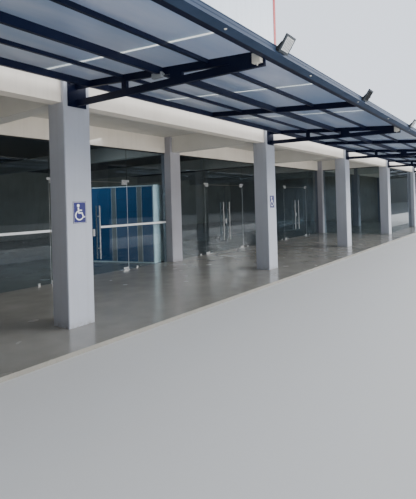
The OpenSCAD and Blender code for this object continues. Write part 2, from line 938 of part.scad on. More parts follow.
module screen_panels() {
    color("steelblue")
        on_screen()
            panel_fields(panel_set, panel_set + panel_t, panel_play);
}

// Each leaf by its bay, counted from 0, and its side: 1 is the left one, 0 the right one
module bay_2_left_leaf() door_leaf(1, 1);
module bay_2_left_fittings() door_fittings(1, 1);
module bay_2_right_leaf() door_leaf(1, 0);
module bay_2_right_fittings() door_fittings(1, 0);
module bay_3_left_leaf() door_leaf(2, 1);
module bay_3_left_fittings() door_fittings(2, 1);
module bay_3_right_leaf() door_leaf(2, 0);
module bay_3_right_fittings() door_fittings(2, 0);
module bay_4_left_leaf() door_leaf(3, 1);
module bay_4_left_fittings() door_fittings(3, 1);
module bay_4_right_leaf() door_leaf(3, 0);
module bay_4_right_fittings() door_fittings(3, 0);

floor_slab();
outer_columns();
inner_columns();
front_beams();
cross_beams();
shopfront_lintels();
arcade_ceiling();
front_parapet();
party_walls();
arcade_end_walls();
rear_wall();
parapet_copings();
roof_deck();
canopy_wall_plates();
canopy_trusses();
canopy_rafters();
canopy_purlins();
canopy_edge_beam();
canopy_sheets();
sheet_joint_strips();
canopy_gutter();
floodlight_brackets();
floodlights();
junction_boxes();
sign_panel();
sign_border();
sign_frame();
access_plates();
glazing_channels();
fixed_glass();
transom_glass();
fixed_patches();
floor_springs();
screen_carcass();
screen_panels();
bay_2_left_leaf();
bay_2_left_fittings();
bay_2_right_leaf();
bay_2_right_fittings();
bay_3_left_leaf();
bay_3_left_fittings();
bay_3_right_leaf();
bay_3_right_fittings();
bay_4_left_leaf();
bay_4_left_fittings();
bay_4_right_leaf();
bay_4_right_fittings();
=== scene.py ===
# %% [markdown]
# # A supermarket in a row
# The building is an arcade of painted square columns with a frameless glass shopfront
# behind it, a tapered steel canopy with smoky sheets in front, and a sign on the roof.
# The solids come from the CAD frame. This lesson gives each of them its real finish and
# adds the small things that are too fine for the frame, such as screws, seals and films.

# %% Load the frame
import math

import bmesh
import bpy
from mathutils import Matrix, Vector


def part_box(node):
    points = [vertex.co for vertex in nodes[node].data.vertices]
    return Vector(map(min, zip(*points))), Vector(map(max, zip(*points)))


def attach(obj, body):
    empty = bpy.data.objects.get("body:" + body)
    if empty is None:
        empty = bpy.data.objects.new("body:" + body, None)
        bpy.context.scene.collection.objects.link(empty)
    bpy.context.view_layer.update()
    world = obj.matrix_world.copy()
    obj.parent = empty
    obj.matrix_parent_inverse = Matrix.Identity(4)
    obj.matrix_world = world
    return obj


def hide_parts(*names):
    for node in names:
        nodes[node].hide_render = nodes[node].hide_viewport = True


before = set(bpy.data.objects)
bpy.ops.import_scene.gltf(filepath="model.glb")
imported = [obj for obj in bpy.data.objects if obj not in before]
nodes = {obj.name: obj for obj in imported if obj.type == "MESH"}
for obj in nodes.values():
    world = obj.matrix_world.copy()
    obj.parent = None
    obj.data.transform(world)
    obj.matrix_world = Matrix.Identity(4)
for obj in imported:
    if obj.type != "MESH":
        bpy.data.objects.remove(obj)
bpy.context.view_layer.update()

# %% [markdown]
# The columns stand at even distances, so most pieces are placed by bay. The middles of the
# columns and of the bays are worked out once, from the ends of the CAD model. Three bays
# have doors, and in the last two the glass stands forward between the outer columns.

# %% Where the bays are
BAY_COUNT = 6
FLOOR_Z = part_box("floor_slab")[1].z
COLUMN_HALF = 0.2
FIRST_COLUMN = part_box("outer_columns")[0].x + COLUMN_HALF
BAY = -2 * FIRST_COLUMN / BAY_COUNT


def column_x(i):
    """Middle of column i, counted from 0 at the left end."""
    return FIRST_COLUMN + i * BAY


def bay_x(k):
    """Middle of bay k, counted from 0 at the left end."""
    return column_x(k) + BAY / 2


DOOR_BAYS = (1, 2, 3)
FORWARD_BAYS = (4, 5)
column_places = [round(column_x(i), 2) for i in range(BAY_COUNT + 1)]
print("bay:", round(BAY, 3), "m, columns at", column_places)

# %% [markdown]
# The camera stands in front of the building near its left end, at eye height, and looks
# along the arcade. It was held a little askew, which gives the small pitch and roll. The
# picture was cropped low, so the lens axis lies above its middle, and a vertical shift of
# the lens gives that without tilting the camera.

# %% Camera
CAMERA_PLACE = (-13.848, -4.631, 1.589)
YAW, PITCH, ROLL = (math.radians(a) for a in (53.2123, 0.4172, -1.6199))
IMAGE_HEIGHT = 499
FOCAL_PIXELS = 424.46
AXIS_ROW = 199.97
SENSOR = 36.0
FAR_CLIP = 400


def camera_turn(yaw, pitch, roll):
    """Rotation whose columns are the camera's right, up and backward directions."""
    forward = Vector((math.sin(yaw), math.cos(yaw), 0))
    right = Vector((math.cos(yaw), -math.sin(yaw), 0))
    up = Vector((0, 0, 1))
    tipped = forward * math.cos(pitch) + up * math.sin(pitch)
    raised = up * math.cos(pitch) - forward * math.sin(pitch)
    rolled_right = right * math.cos(roll) + raised * math.sin(roll)
    rolled_up = raised * math.cos(roll) - right * math.sin(roll)
    return Matrix((rolled_right, rolled_up, -tipped)).transposed()


camera_data = bpy.data.cameras.new("eye_height_camera")
camera_data.sensor_width = SENSOR
camera_data.lens = FOCAL_PIXELS / IMAGE_HEIGHT * SENSOR
camera_data.shift_y = (AXIS_ROW - IMAGE_HEIGHT / 2) / IMAGE_HEIGHT
camera_data.clip_end = FAR_CLIP
camera = bpy.data.objects.new("eye_height_camera", camera_data)
camera.matrix_world = (Matrix.Translation(CAMERA_PLACE)
                       @ camera_turn(YAW, PITCH, ROLL).to_4x4())
bpy.context.collection.objects.link(camera)
bpy.context.scene.camera = camera
print("lens:", round(camera_data.lens, 2), "mm, shift:", round(camera_data.shift_y, 4))

# %% [markdown]
# Materials are built from nodes. Colours are written as the hex values that a paint card
# gives, and one function turns them into the linear values that Blender works in. One
# small function adds a node with its settings and links. All patterns read Object
# coordinates, which are metres here, so a pattern's scale is one over its real size.

# %% Colour and node helpers
def linear(hex_colour):
    """An sRGB hex colour as linear red, green, blue and alpha."""
    levels = (int(hex_colour[i:i + 2], 16) / 255 for i in (1, 3, 5))
    return tuple(v / 12.92 if v <= 0.04045 else ((v + 0.055) / 1.055) ** 2.4
                 for v in levels) + (1.0,)


def per_metre(size_mm):
    """Pattern scale for features of this size in millimetres."""
    return 1000 / size_mm


def add(tree, kind, values=None, links=None, **settings):
    """Adds a node: settings are its properties, values its inputs, links come into it."""
    made = tree.nodes.new(kind)
    for name, value in settings.items():
        setattr(made, name, value)
    for socket, value in (values or {}).items():
        made.inputs[socket].default_value = value
    for socket, source in (links or {}).items():
        tree.links.new(source, made.inputs[socket])
    return made


def start(name, roughness, **constants):
    """A new material with its principled shader and its object coordinates."""
    material = bpy.data.materials.new(name)
    material.use_nodes = True
    tree = material.node_tree
    shader = tree.nodes["Principled BSDF"]
    shader.inputs["Roughness"].default_value = roughness
    for socket, value in constants.items():
        shader.inputs[socket.replace("_", " ")].default_value = value
    place = add(tree, "ShaderNodeTexCoord").outputs["Object"]
    return material, tree, shader, place


def noise(tree, place, size_mm, detail=3.0, stretch=None):
    """Even noise with blotches of this size; stretch is its length along each axis."""
    if stretch:
        place = add(tree, "ShaderNodeMapping", {"Scale": [1 / s for s in stretch]},
                    {"Vector": place}).outputs["Vector"]
    return add(tree, "ShaderNodeTexNoise", {"Scale": per_metre(size_mm), "Detail": detail},
               {"Vector": place}).outputs["Fac"]


def spread(tree, value, low, high, to_low=0.0, to_high=1.0):
    """Maps low..high of a value to to_low..to_high, and holds it outside that."""
    return add(tree, "ShaderNodeMapRange",
               {"From Min": low, "From Max": high, "To Min": to_low, "To Max": to_high},
               {"Value": value}).outputs["Result"]


def blend_colours(tree, amount, first, second, kind="MIX"):
    """Mixes two colours, each a hex value or the output of another node."""
    mix = add(tree, "ShaderNodeMix", data_type="RGBA", blend_type=kind)
    for socket, colour in (("A", first), ("B", second)):
        target = [s for s in mix.inputs if s.name == socket and s.type == "RGBA"][0]
        if isinstance(colour, str):
            target.default_value = linear(colour)
        else:
            tree.links.new(colour, target)
    factor = mix.inputs[0]
    if isinstance(amount, float):
        factor.default_value = amount
    else:
        tree.links.new(amount, factor)
    return [s for s in mix.outputs if s.type == "RGBA"][0]


def times(tree, first, second):
    """The product of a value and another value or number."""
    node = add(tree, "ShaderNodeMath", operation="MULTIPLY", links={0: first})
    if isinstance(second, float):
        node.inputs[1].default_value = second
    else:
        tree.links.new(second, node.inputs[1])
    return node.outputs[0]


def bump(tree, shader, layers):
    """Lays height patterns over each other: (height, depth in metres, strength)."""
    normal = None
    for height, depth, strength in layers:
        links = {"Height": height}
        if normal:
            links["Normal"] = normal
        normal = add(tree, "ShaderNodeBump", {"Distance": depth, "Strength": strength},
                     links).outputs["Normal"]
    tree.links.new(normal, shader.inputs["Normal"])


def height_of(tree, place):
    """The height above the ground of each point, in metres."""
    return add(tree, "ShaderNodeSeparateXYZ", links={"Vector": place}).outputs["Z"]


print("helpers ready")

# %% [markdown]
# Columns, beams, ceiling and walls are plaster on concrete, rolled with matt masonry
# paint. A roller leaves an orange peel of about 5 mm, drawn here at 9 mm so that it shows,
# and the trowel under it a slow wave of about 200 mm. Rain and feet make it dirty: streaks
# run down the walls and the lowest part goes grey. A noise stretched along Z gives the
# streaks.

# %% Masonry paint
PEEL_MM = 9
TROWEL_MM = 220
CLOUD_MM = 700
RUN_MM, RUN_STRETCH = 60, 22.0
SPLASH_MM = 45


def masonry_paint(name, paint, shade, grime, foot=0.0, streak=0.15):
    """Matt paint on plaster. foot is the height in metres up to which the base is dirty."""
    material, tree, shader, place = start(name, 0.72)
    cloud = spread(tree, noise(tree, place, CLOUD_MM, 5.0), 0.3, 0.7)
    colour = blend_colours(tree, cloud, paint, shade)
    runs = noise(tree, place, RUN_MM, 4.0, stretch=(1.0, 1.0, RUN_STRETCH))
    runs = times(tree, spread(tree, runs, 0.5, 0.8), streak)
    colour = blend_colours(tree, runs, colour, grime)
    if foot:
        low = spread(tree, height_of(tree, place), FLOOR_Z, FLOOR_Z + foot, 1.0, 0.0)
        blotch = spread(tree, noise(tree, place, SPLASH_MM, 5.0), 0.35, 0.7)
        colour = blend_colours(tree, times(tree, times(tree, low, low), blotch), colour, grime)
    tree.links.new(colour, shader.inputs["Base Color"])
    tree.links.new(spread(tree, cloud, 0.0, 1.0, 0.62, 0.8), shader.inputs["Roughness"])
    bump(tree, shader, [(noise(tree, place, TROWEL_MM), 0.004, 0.25),
                        (noise(tree, place, PEEL_MM, 2.0), 0.0009, 0.35)])
    return material


# Pale cool grey, dirty at the foot
column_paint = masonry_paint("grey_masonry_paint", "#cfd1d8", "#c6c8cf", "#9a9893", foot=0.12)
# The same grey paint made darker for the columns under the arcade, a painted shade copy, and
# dirty at the foot
shaded_inner_column_paint = masonry_paint("shaded_copy_masonry_paint", "#a3a3ab", "#9a9aa1", "#7d7b78",
                                   foot=0.12)
# Warm off-white of the beams and the parapet
cream_paint = masonry_paint("cream_masonry_paint", "#e6e0d6", "#ddd6cb", "#9c9688", streak=0.12)
# Greyer white of the soffits, which get little light
soffit_paint = masonry_paint("soffit_masonry_paint", "#dcdad4", "#d2d0c9", "#8d8b86", streak=0.0)
# Painted render of the side and rear walls
wall_paint = masonry_paint("render_masonry_paint", "#d6d0c3", "#cac3b5", "#8f897c", foot=0.5,
                           streak=0.35)
print("masonry paints: 5")

# %% [markdown]
# The floor is concrete, power-floated and ground until it shines as if it were wet. Its
# colour drifts between several greys within a stride, sand grains show as fine specks, and
# the polish is uneven, so the mirror images of the columns are crisp in one place and soft
# in the next. The uneven polish is a noise on the roughness. Sand grains of 2 mm are drawn
# at 7 mm, or they would not show.

# %% Polished concrete
DRIFT_MM, STAIN_MM, GRAIN_MM = 1500, 320, 7
POLISH_MM, SWELL_MM, RIPPLE_MM = 500, 900, 30


def polished_concrete(name):
    """Wet-looking concrete: drifting greys, specks, and a polish that comes and goes."""
    material, tree, shader, place = start(name, 0.2, IOR=1.5)
    drift = spread(tree, noise(tree, place, DRIFT_MM, 4.0), 0.3, 0.7)
    colour = blend_colours(tree, drift, "#8b8981", "#98958d")
    stains = spread(tree, noise(tree, place, STAIN_MM, 3.0), 0.3, 0.8)
    colour = blend_colours(tree, times(tree, stains, 0.4), colour, "#6b6862")
    grains = spread(tree, noise(tree, place, GRAIN_MM, 1.0), 0.62, 0.72)
    colour = blend_colours(tree, times(tree, grains, 0.35), colour, "#a8a59c")
    tree.links.new(colour, shader.inputs["Base Color"])
    polish = noise(tree, place, POLISH_MM, 2.0)
    tree.links.new(spread(tree, polish, 0.25, 0.8, 0.13, 0.3), shader.inputs["Roughness"])
    bump(tree, shader, [(noise(tree, place, SWELL_MM, 1.0), 0.0008, 0.3),
                        (noise(tree, place, RIPPLE_MM, 2.0), 0.0002, 0.15)])
    return material


floor_concrete = polished_concrete("ground_polished_concrete")
print("floor finish:", floor_concrete.name)

# %% [markdown]
# The canopy is built of square steel tube with two coats of almost black navy paint,
# brushed on at the site. It is a semi-gloss that shows long soft highlights, and dust lies
# on its upper faces. The dust is mixed in by how far the surface faces up.

# %% Steel paints
TONE_MM, DUST_MM, BRUSH_MM = 350, 90, 14
DUST = "#5a5d61"


def steel_paint(name, paint, worn, roughness=0.48, dusty=0.45):
    """Semi-gloss paint on steel, uneven in tone, with dust on the faces that look up."""
    material, tree, shader, place = start(name, roughness, Specular_IOR_Level=0.2)
    tone = spread(tree, noise(tree, place, TONE_MM, 4.0), 0.35, 0.7)
    colour = blend_colours(tree, tone, paint, worn)
    up = add(tree, "ShaderNodeNewGeometry").outputs["Normal"]
    up = add(tree, "ShaderNodeSeparateXYZ", links={"Vector": up}).outputs["Z"]
    settled = times(tree, spread(tree, up, 0.3, 0.95),
                    spread(tree, noise(tree, place, DUST_MM, 5.0), 0.3, 0.75, 0.0, dusty))
    colour = blend_colours(tree, settled, colour, DUST)
    tree.links.new(colour, shader.inputs["Base Color"])
    tree.links.new(spread(tree, settled, 0.0, 0.5, roughness, 0.85),
                   shader.inputs["Roughness"])
    bump(tree, shader, [(noise(tree, place, BRUSH_MM, 2.0), 0.0006, 0.25)])
    return material


# Navy that is almost black, with soft highlights and brush marks
canopy_steel = steel_paint("navy_brushed_steel_paint", "#050b22", "#0a122c")
# Blue-grey coil coating of the folded sheet, duller than the tubes
gutter_paint = steel_paint("gutter_coil_coated_steel", "#2b3a51", "#35455e", roughness=0.55,
                           dusty=0.4)
# Plain black of the lamps' brackets
bracket_paint = steel_paint("bracket_black_steel_paint", "#22252a", "#2d3035")
# Dull zinc grey of the sign's stand
sign_steel = steel_paint("sign_galvanised_steel", "#7b7f82", "#8d9193", roughness=0.45)
print("steel paints: 4")

# %% [markdown]
# The canopy's sheets are solid polycarbonate, extruded with a smoky blue tint and gone
# slightly cloudy with the sun. From below they glow with the sky behind them. A rough
# transmission does that, because it takes the light of a wide piece of sky, and clouds of
# dust dim it in blotches. The joints are filled with milky strips. They gather light along
# their whole edge and stay brighter than the sheets, and a faint glow stands for that.

# %% Canopy sheets and joint strips
SHEET_DUST_MM = 260
EDGE_LIGHT = "#e6f0f4"


def cloudy_sheet(name, tint, dusty_tint, roughness, transmission, index=1.5, glow=0.0):
    """A sheet that the sky shines through. glow is light gathered from its edges."""
    material, tree, shader, place = start(name, roughness, IOR=index,
                                          Transmission_Weight=transmission,
                                          Emission_Strength=glow)
    shader.inputs["Emission Color"].default_value = linear(EDGE_LIGHT)
    dust = noise(tree, place, SHEET_DUST_MM, 5.0, stretch=(5.0, 1.0, 1.0))
    dust = spread(tree, dust, 0.35, 0.7)
    colour = blend_colours(tree, dust, tint, dusty_tint)
    tree.links.new(colour, shader.inputs["Base Color"])
    tree.links.new(spread(tree, dust, 0.0, 1.0, roughness * 0.7, roughness),
                   shader.inputs["Roughness"])
    return material


# Smoky blue sheet that glows with the sky and shows clouds of dust
smoky_sheet = cloudy_sheet("smoky_polycarbonate", "#8b9db6", "#bcc2cf", 0.4, 0.88)
# Milky strip, brighter than the sheets it joins
milky_strip = cloudy_sheet("milky_joint_strip", "#fdfdf8", "#f1f2ea", 0.3, 0.9, 1.15, 0.3)
print("sheets:", smoky_sheet.name, milky_strip.name)

# %% [markdown]
# The shopfront is 10 mm toughened float glass. Iron in the melt makes it a little green,
# and both faces mirror what is bright outside, more so at a slant. The principled shader's
# full transmission with the index of glass gives both. Real glass also lets daylight into
# the shop, but rays from lamps stop at a solid that refracts, so for those rays alone the
# glass is clear with a slight grey tint.

# %% Glass
HAZE_MM = 800


def float_glass(name):
    """Clear glass with a faint haze of dirt, open to the rays of lamps."""
    material, tree, shader, place = start(name, 0.0, IOR=1.52, Transmission_Weight=1.0)
    haze = spread(tree, noise(tree, place, HAZE_MM, 4.0), 0.3, 0.75)
    colour = blend_colours(tree, haze, "#acbcc4", "#9eafb8")
    tree.links.new(colour, shader.inputs["Base Color"])
    tree.links.new(spread(tree, haze, 0.0, 1.0, 0.0, 0.03), shader.inputs["Roughness"])
    clear = add(tree, "ShaderNodeBsdfTransparent", {"Color": linear("#f2f5f6")})
    from_lamp = add(tree, "ShaderNodeLightPath").outputs["Is Shadow Ray"]
    either = add(tree, "ShaderNodeMixShader", links={0: from_lamp})
    tree.links.new(shader.outputs["BSDF"], either.inputs[1])
    tree.links.new(clear.outputs["BSDF"], either.inputs[2])
    tree.links.new(either.outputs["Shader"], tree.nodes["Material Output"].inputs["Surface"])
    return material


shop_glass = float_glass("toughened_float_glass")
print("glass:", shop_glass.name)

# %% [markdown]
# Door fittings are brushed stainless steel, channels and copings are aluminium as it comes
# from the press. Brushing leaves fine lines all one way, so a noise stretched along them
# moves the roughness. The scratches scatter part of the light evenly, and so the steel is
# only partly metallic.

# %% Bare metals
TARNISH_MM = 120


def brushed_metal(name, colour, worn, low, high, grain=(1.0, 1.0, 30.0), line_mm=2.0,
                  metallic=1.0):
    """Metal with lines along its grain, whose roughness runs between low and high."""
    material, tree, shader, place = start(name, low, Metallic=metallic)
    lines = noise(tree, place, line_mm, 3.0, stretch=grain)
    cloud = spread(tree, noise(tree, place, TARNISH_MM, 4.0), 0.3, 0.7)
    tree.links.new(blend_colours(tree, cloud, colour, worn), shader.inputs["Base Color"])
    tree.links.new(spread(tree, lines, 0.3, 0.7, low, high), shader.inputs["Roughness"])
    return material


# Bright satin steel of the door fittings
stainless = brushed_metal("brushed_stainless_steel", "#dcdddc", "#cbcccb", 0.2, 0.36,
                          metallic=0.6)
# Dark grey anodised channels, with press lines along the front
channel_aluminium = brushed_metal("anodised_channel_aluminium", "#5c5e61", "#505255", 0.35,
                                  0.5, grain=(30.0, 1.0, 1.0))
# Pale dull aluminium of copings and screws, weathered in broad marks
coping_aluminium = brushed_metal("mill_finish_coping_aluminium", "#b4b6b8", "#9fa1a3", 0.4,
                                 0.6, grain=(30.0, 30.0, 1.0), line_mm=6.0)
print("bare metals: 3")

# %% [markdown]
# Signs are films, plastics and enamel: smooth, glossy and evenly coloured, with a little
# dirt that the rain has left in upright runs. The roof is laid with rolls of mineral felt,
# one metre wide, whose laps show as dark lines.

# %% Films, plastics and roofing felt
RAIN_MM = 90
ROLL_LENGTH, ROLL_WIDTH, LAP_LINE = 8.0, 1.0, 0.006
POND_MM, CHIP_MM = 500, 8


def smooth_coat(name, colour, dirt, roughness):
    """A smooth even coat, a little dirty where rain has run down it."""
    material, tree, shader, place = start(name, roughness)
    runs = spread(tree, noise(tree, place, RAIN_MM, 4.0, stretch=(1.0, 1.0, 8.0)), 0.45, 0.8)
    tree.links.new(blend_colours(tree, times(tree, runs, 0.25), colour, dirt),
                   shader.inputs["Base Color"])
    tree.links.new(spread(tree, runs, 0.0, 1.0, roughness, roughness + 0.2),
                   shader.inputs["Roughness"])
    return material


def roofing_felt(name):
    """Rolls of felt with dark laps, stained where water stands, rough with chippings."""
    material, tree, shader, place = start(name, 0.9)
    laps = add(tree, "ShaderNodeTexBrick",
               {"Scale": 1.0, "Mortar Size": LAP_LINE, "Brick Width": ROLL_LENGTH,
                "Row Height": ROLL_WIDTH, "Color1": linear("#5d5e5f"),
                "Color2": linear("#656667"), "Mortar": linear("#3a3b3c")}, {"Vector": place})
    ponds = spread(tree, noise(tree, place, POND_MM, 5.0), 0.4, 0.75)
    colour = blend_colours(tree, times(tree, ponds, 0.4), laps.outputs["Color"], "#7d7a72")
    tree.links.new(colour, shader.inputs["Base Color"])
    bump(tree, shader, [(laps.outputs["Fac"], 0.003, 0.6),
                        (noise(tree, place, CHIP_MM, 2.0), 0.001, 0.5)])
    return material


# The sign: bright cool film, and a red edge that the sun has dulled
sign_white = smooth_coat("sign_white_film", "#e1e9f4", "#bcc2ca", 0.3)
sign_red = smooth_coat("sign_red_film", "#c02f2e", "#8e2626", 0.32)
# The plates: deep blue enamel with a glossy white figure
plate_blue = smooth_coat("plate_blue_enamel", "#080f63", "#141c55", 0.3)
plate_white = smooth_coat("plate_white_enamel", "#f2f3f5", "#d5d6d8", 0.3)
# On and between the glass: an opaque band, dark joints, and seals that catch the light
band_white = smooth_coat("frosted_white_film", "#f4f7f8", "#e2e8ea", 0.45)
silicone = smooth_coat("dark_grey_silicone", "#3a4045", "#454b4f", 0.35)
edge_seal = smooth_coat("clear_edge_seal", "#dfe8ea", "#c3cccf", 0.3)
# The lamps: powder-coated trays, black ribs, and a lens as pale as the sky
lamp_black = smooth_coat("lamp_black_die_cast", "#14171b", "#2a2d31", 0.5)
lamp_glass = smooth_coat("lamp_frosted_glass", "#c4c8ca", "#b2b6b8", 0.2)
lamp_rim = smooth_coat("lamp_rim_die_cast", "#323940", "#4a5057", 0.5)
# Boxes and conduit: moulded plastic, yellowed by the sun or still grey or white
box_plastic = smooth_coat("weathered_box_plastic", "#c9c8c0", "#a39e90", 0.55)
box_grey = smooth_coat("grey_box_plastic", "#7f868c", "#666c71", 0.4)
conduit_white = smooth_coat("white_conduit", "#e4e4df", "#bdbcb5", 0.5)
# The screen: a pale green-white frame, strong blue panels, grey strips and dark seams
screen_pale = smooth_coat("screen_pale_powder_coat", "#e6f1ef", "#d4e0de", 0.4)
screen_blue = smooth_coat("screen_blue_powder_coat", "#126396", "#0f527a", 0.35)
screen_grey = smooth_coat("screen_grey_cover_strip", "#8d9392", "#7c8281", 0.45)
screen_seam = smooth_coat("screen_dark_seam", "#0c3550", "#0a2c42", 0.6)
roof_felt = roofing_felt("mineral_roofing_felt")
print("coats ready")

# %% [markdown]
# Now the CAD nodes get their finishes. Each keeps its shape, and only its material slots
# are filled.

# %% Dress the CAD nodes
FINISHES = {
    "floor_slab": floor_concrete,
    "outer_columns": column_paint,
    "inner_columns": shaded_inner_column_paint,
    "front_beams": cream_paint,
    "shopfront_lintels": cream_paint,
    "front_parapet": cream_paint,
    "cross_beams": soffit_paint,
    "arcade_ceiling": soffit_paint,
    "party_walls": wall_paint,
    "arcade_end_walls": wall_paint,
    "rear_wall": wall_paint,
    "parapet_copings": coping_aluminium,
    "roof_deck": roof_felt,
    "canopy_wall_plates": canopy_steel,
    "canopy_trusses": canopy_steel,
    "canopy_rafters": canopy_steel,
    "canopy_purlins": canopy_steel,
    "canopy_edge_beam": canopy_steel,
    "canopy_sheets": smoky_sheet,
    "sheet_joint_strips": milky_strip,
    "canopy_gutter": gutter_paint,
    "floodlight_brackets": bracket_paint,
    "floodlights": lamp_rim,
    "junction_boxes": box_plastic,
    "sign_panel": sign_white,
    "sign_border": sign_red,
    "sign_frame": sign_steel,
    "access_plates": plate_blue,
    "glazing_channels": channel_aluminium,
    "fixed_glass": shop_glass,
    "transom_glass": shop_glass,
    "fixed_patches": stainless,
    "floor_springs": stainless,
    "screen_carcass": screen_pale,
    "screen_panels": screen_blue,
}
for name, node in nodes.items():
    if name.endswith("_leaf"):
        finish = shop_glass
    elif name.endswith("_fittings"):
        finish = stainless
    else:
        finish = FINISHES[name]
    node.data.materials.clear()
    node.data.materials.append(finish)
print("dressed", len(nodes), "CAD nodes")

# %% [markdown]
# Small pieces are made with bmesh operators. Each starts as a cube, a cone or a circle
# that is put in place and then bevelled, and many like pieces share one mesh, as the
# screws of one door do. `finish_piece` turns the mesh into an object that rides on its
# body.

# %% Tools for small pieces
SHARP = math.radians(40)
SCREW_RISE, SCREW_DOME = 0.002, 0.7


def add_block(bm, low, high):
    """Adds a block given by its lowest and highest corners, and returns its points."""
    low, high = Vector(low), Vector(high)
    place = Matrix.Translation((low + high) / 2) @ Matrix.Diagonal((*(high - low), 1))
    return bmesh.ops.create_cube(bm, size=1, matrix=place)["verts"]


def add_rod(bm, foot, top, radius, sides=16, top_radius=None):
    """Adds a rod or cone between two points, and returns its points."""
    foot, top = Vector(foot), Vector(top)
    along = top - foot
    turn = along.to_track_quat("Z", "Y").to_matrix().to_4x4()
    place = Matrix.Translation((foot + top) / 2) @ turn
    return bmesh.ops.create_cone(
        bm, cap_ends=True, segments=sides, radius1=radius,
        radius2=radius if top_radius is None else top_radius, depth=along.length,
        matrix=place)["verts"]


def round_edges(bm, points, width, segments=2):
    """Bevels the edges of one shape inside the mesh."""
    chosen = set(points)
    edges = [e for e in bm.edges if e.verts[0] in chosen and e.verts[1] in chosen]
    bmesh.ops.bevel(bm, geom=edges, offset=width, offset_type="OFFSET", segments=segments,
                    profile=0.5, affect="EDGES", clamp_overlap=True, material=-1)


def evenly(low, high, step):
    """Places from low to high at about this step."""
    count = max(1, round((high - low) / step))
    return [low + n * (high - low) / count for n in range(count + 1)]


def add_screw(bm, place, outward, radius=0.006):
    """A low domed screw head on a face."""
    place, outward = Vector(place), Vector(outward)
    add_rod(bm, place, place + outward * SCREW_RISE, radius, sides=12,
            top_radius=radius * SCREW_DOME)


def finish_piece(bm, name, material, body="building"):
    """Makes the mesh a piece of the object that rides on a body, smooth up to SHARP."""
    bmesh.ops.recalc_face_normals(bm, faces=bm.faces)
    mesh = bpy.data.meshes.new(name)
    bm.to_mesh(mesh)
    bm.free()
    mesh.shade_smooth()
    mesh.set_sharp_from_angle(angle=SHARP)
    mesh.materials.append(material)
    piece = bpy.data.objects.new(name, mesh)
    bpy.context.collection.objects.link(piece)
    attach(piece, body)
    print(name, len(mesh.polygons), "faces")
    return piece


print("tools for blocks, rods, screws and bevels ready")

# %% [markdown]
# The fixed sheets of glass are butted together with 8 mm between them, filled with a bead
# of dark grey silicone. From outside the beads are thin dark lines. Over a pair of
# doors the bead starts above the patch fitting. The two sheets across the arcade, where
# the front steps forward, have a bead between them too.

# %% Silicone joints
GLASS_LOW, GLASS_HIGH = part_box("transom_glass")
GLASS_FRONT, GLASS_BACK = GLASS_LOW.y, GLASS_HIGH.y
GLASS_MID = (GLASS_FRONT + GLASS_BACK) / 2
BEAM_LOW, BEAM_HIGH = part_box("front_beams")
FORWARD_MID = (BEAM_LOW.y + BEAM_HIGH.y) / 2
HEAD_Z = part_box("shopfront_lintels")[0].z
CHANNEL = 0.03
PAIR_HALF = 1.05
BEAD_HALF = (0.0038, 0.0045)
PATCH_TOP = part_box("fixed_patches")[1].z
RETURN_Y = (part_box("outer_columns")[1].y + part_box("inner_columns")[0].y) / 2


def add_bead(bm, x, y, half_x, half_y, low, head):
    """An upright bead of silicone from low to the head channel."""
    add_block(bm, (x - half_x, y - half_y, low), (x + half_x, y + half_y, head - CHANNEL))


joints = bmesh.new()
for k in range(BAY_COUNT):
    has_doors = k in DOOR_BAYS
    forward = k in FORWARD_BAYS
    for x in (-PAIR_HALF, PAIR_HALF) if has_doors else (-PAIR_HALF, 0, PAIR_HALF):
        add_bead(joints, bay_x(k) + x, FORWARD_MID if forward else GLASS_MID, *BEAD_HALF,
                 PATCH_TOP if has_doors else FLOOR_Z, BEAM_LOW.z if forward else HEAD_Z)
add_bead(joints, column_x(FORWARD_BAYS[0]), RETURN_Y, *reversed(BEAD_HALF), FLOOR_Z,
         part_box("cross_beams")[0].z)
finish_piece(joints, "silicone_joints", silicone)

# %% [markdown]
# The fixed glass has a clear seal on the edge that faces a door leaf, from the floor to the
# patch over the door. It closes most of the draught and catches the light, so each doorway
# is drawn by two bright upright lines. It is about 3 mm thick, and the leaf passes it with
# 10 mm to spare.

# %% Edge seals beside the doors
SEAL_X = (1.0505, 1.0538)
PATCH_H = 0.05

seals = bmesh.new()
for k in DOOR_BAYS:
    for sign_x in (-1, 1):
        edges = sorted(bay_x(k) + sign_x * x for x in SEAL_X)
        add_block(seals, (edges[0], GLASS_FRONT, FLOOR_Z),
                  (edges[1], GLASS_BACK, PATCH_TOP - PATCH_H))
finish_piece(seals, "door_edge_seals", edge_seal)

# %% [markdown]
# One bay of doors carries a safety band at waist height, so that nobody walks into the
# glass. It is a white film on the outer face, cut round the pull handles. On the leaves it
# has to swing along, so each leaf has its own length of it.

# %% Safety band
BAND_BAY = 1
BAND_LOW, BAND_HIGH = 1.089, 1.138
FILM = 0.0006
FILM_OFF = 0.0002
LEAF_EDGE = 1.04
JOINT_HALF = 0.004
HANDLE_CLEAR = 0.235
BAY_HALF = BAY / 2 - COLUMN_HALF


def film_strip(name, x0, x1, body):
    """A length of the white film on the outer face of the glass."""
    band = bmesh.new()
    add_block(band, (x0, GLASS_FRONT - FILM_OFF - FILM, BAND_LOW),
              (x1, GLASS_FRONT - FILM_OFF, BAND_HIGH))
    finish_piece(band, name, band_white, body)


middle = bay_x(BAND_BAY)
film_strip("band_left_panel", middle - BAY_HALF, middle - PAIR_HALF - JOINT_HALF, "building")
film_strip("band_left_leaf", middle - LEAF_EDGE, middle - HANDLE_CLEAR, "bay_2_left_door")
film_strip("band_right_leaf", middle + HANDLE_CLEAR, middle + LEAF_EDGE, "bay_2_right_door")
film_strip("band_right_panel", middle + PAIR_HALF + JOINT_HALF, middle + BAY_HALF, "building")

# %% [markdown]
# Each truss hangs on a steel plate with four anchor bolts into the column. A bolt is a
# washer, a hexagon nut and the end of its thread: three short rods of 16, 6 and 12 sides.

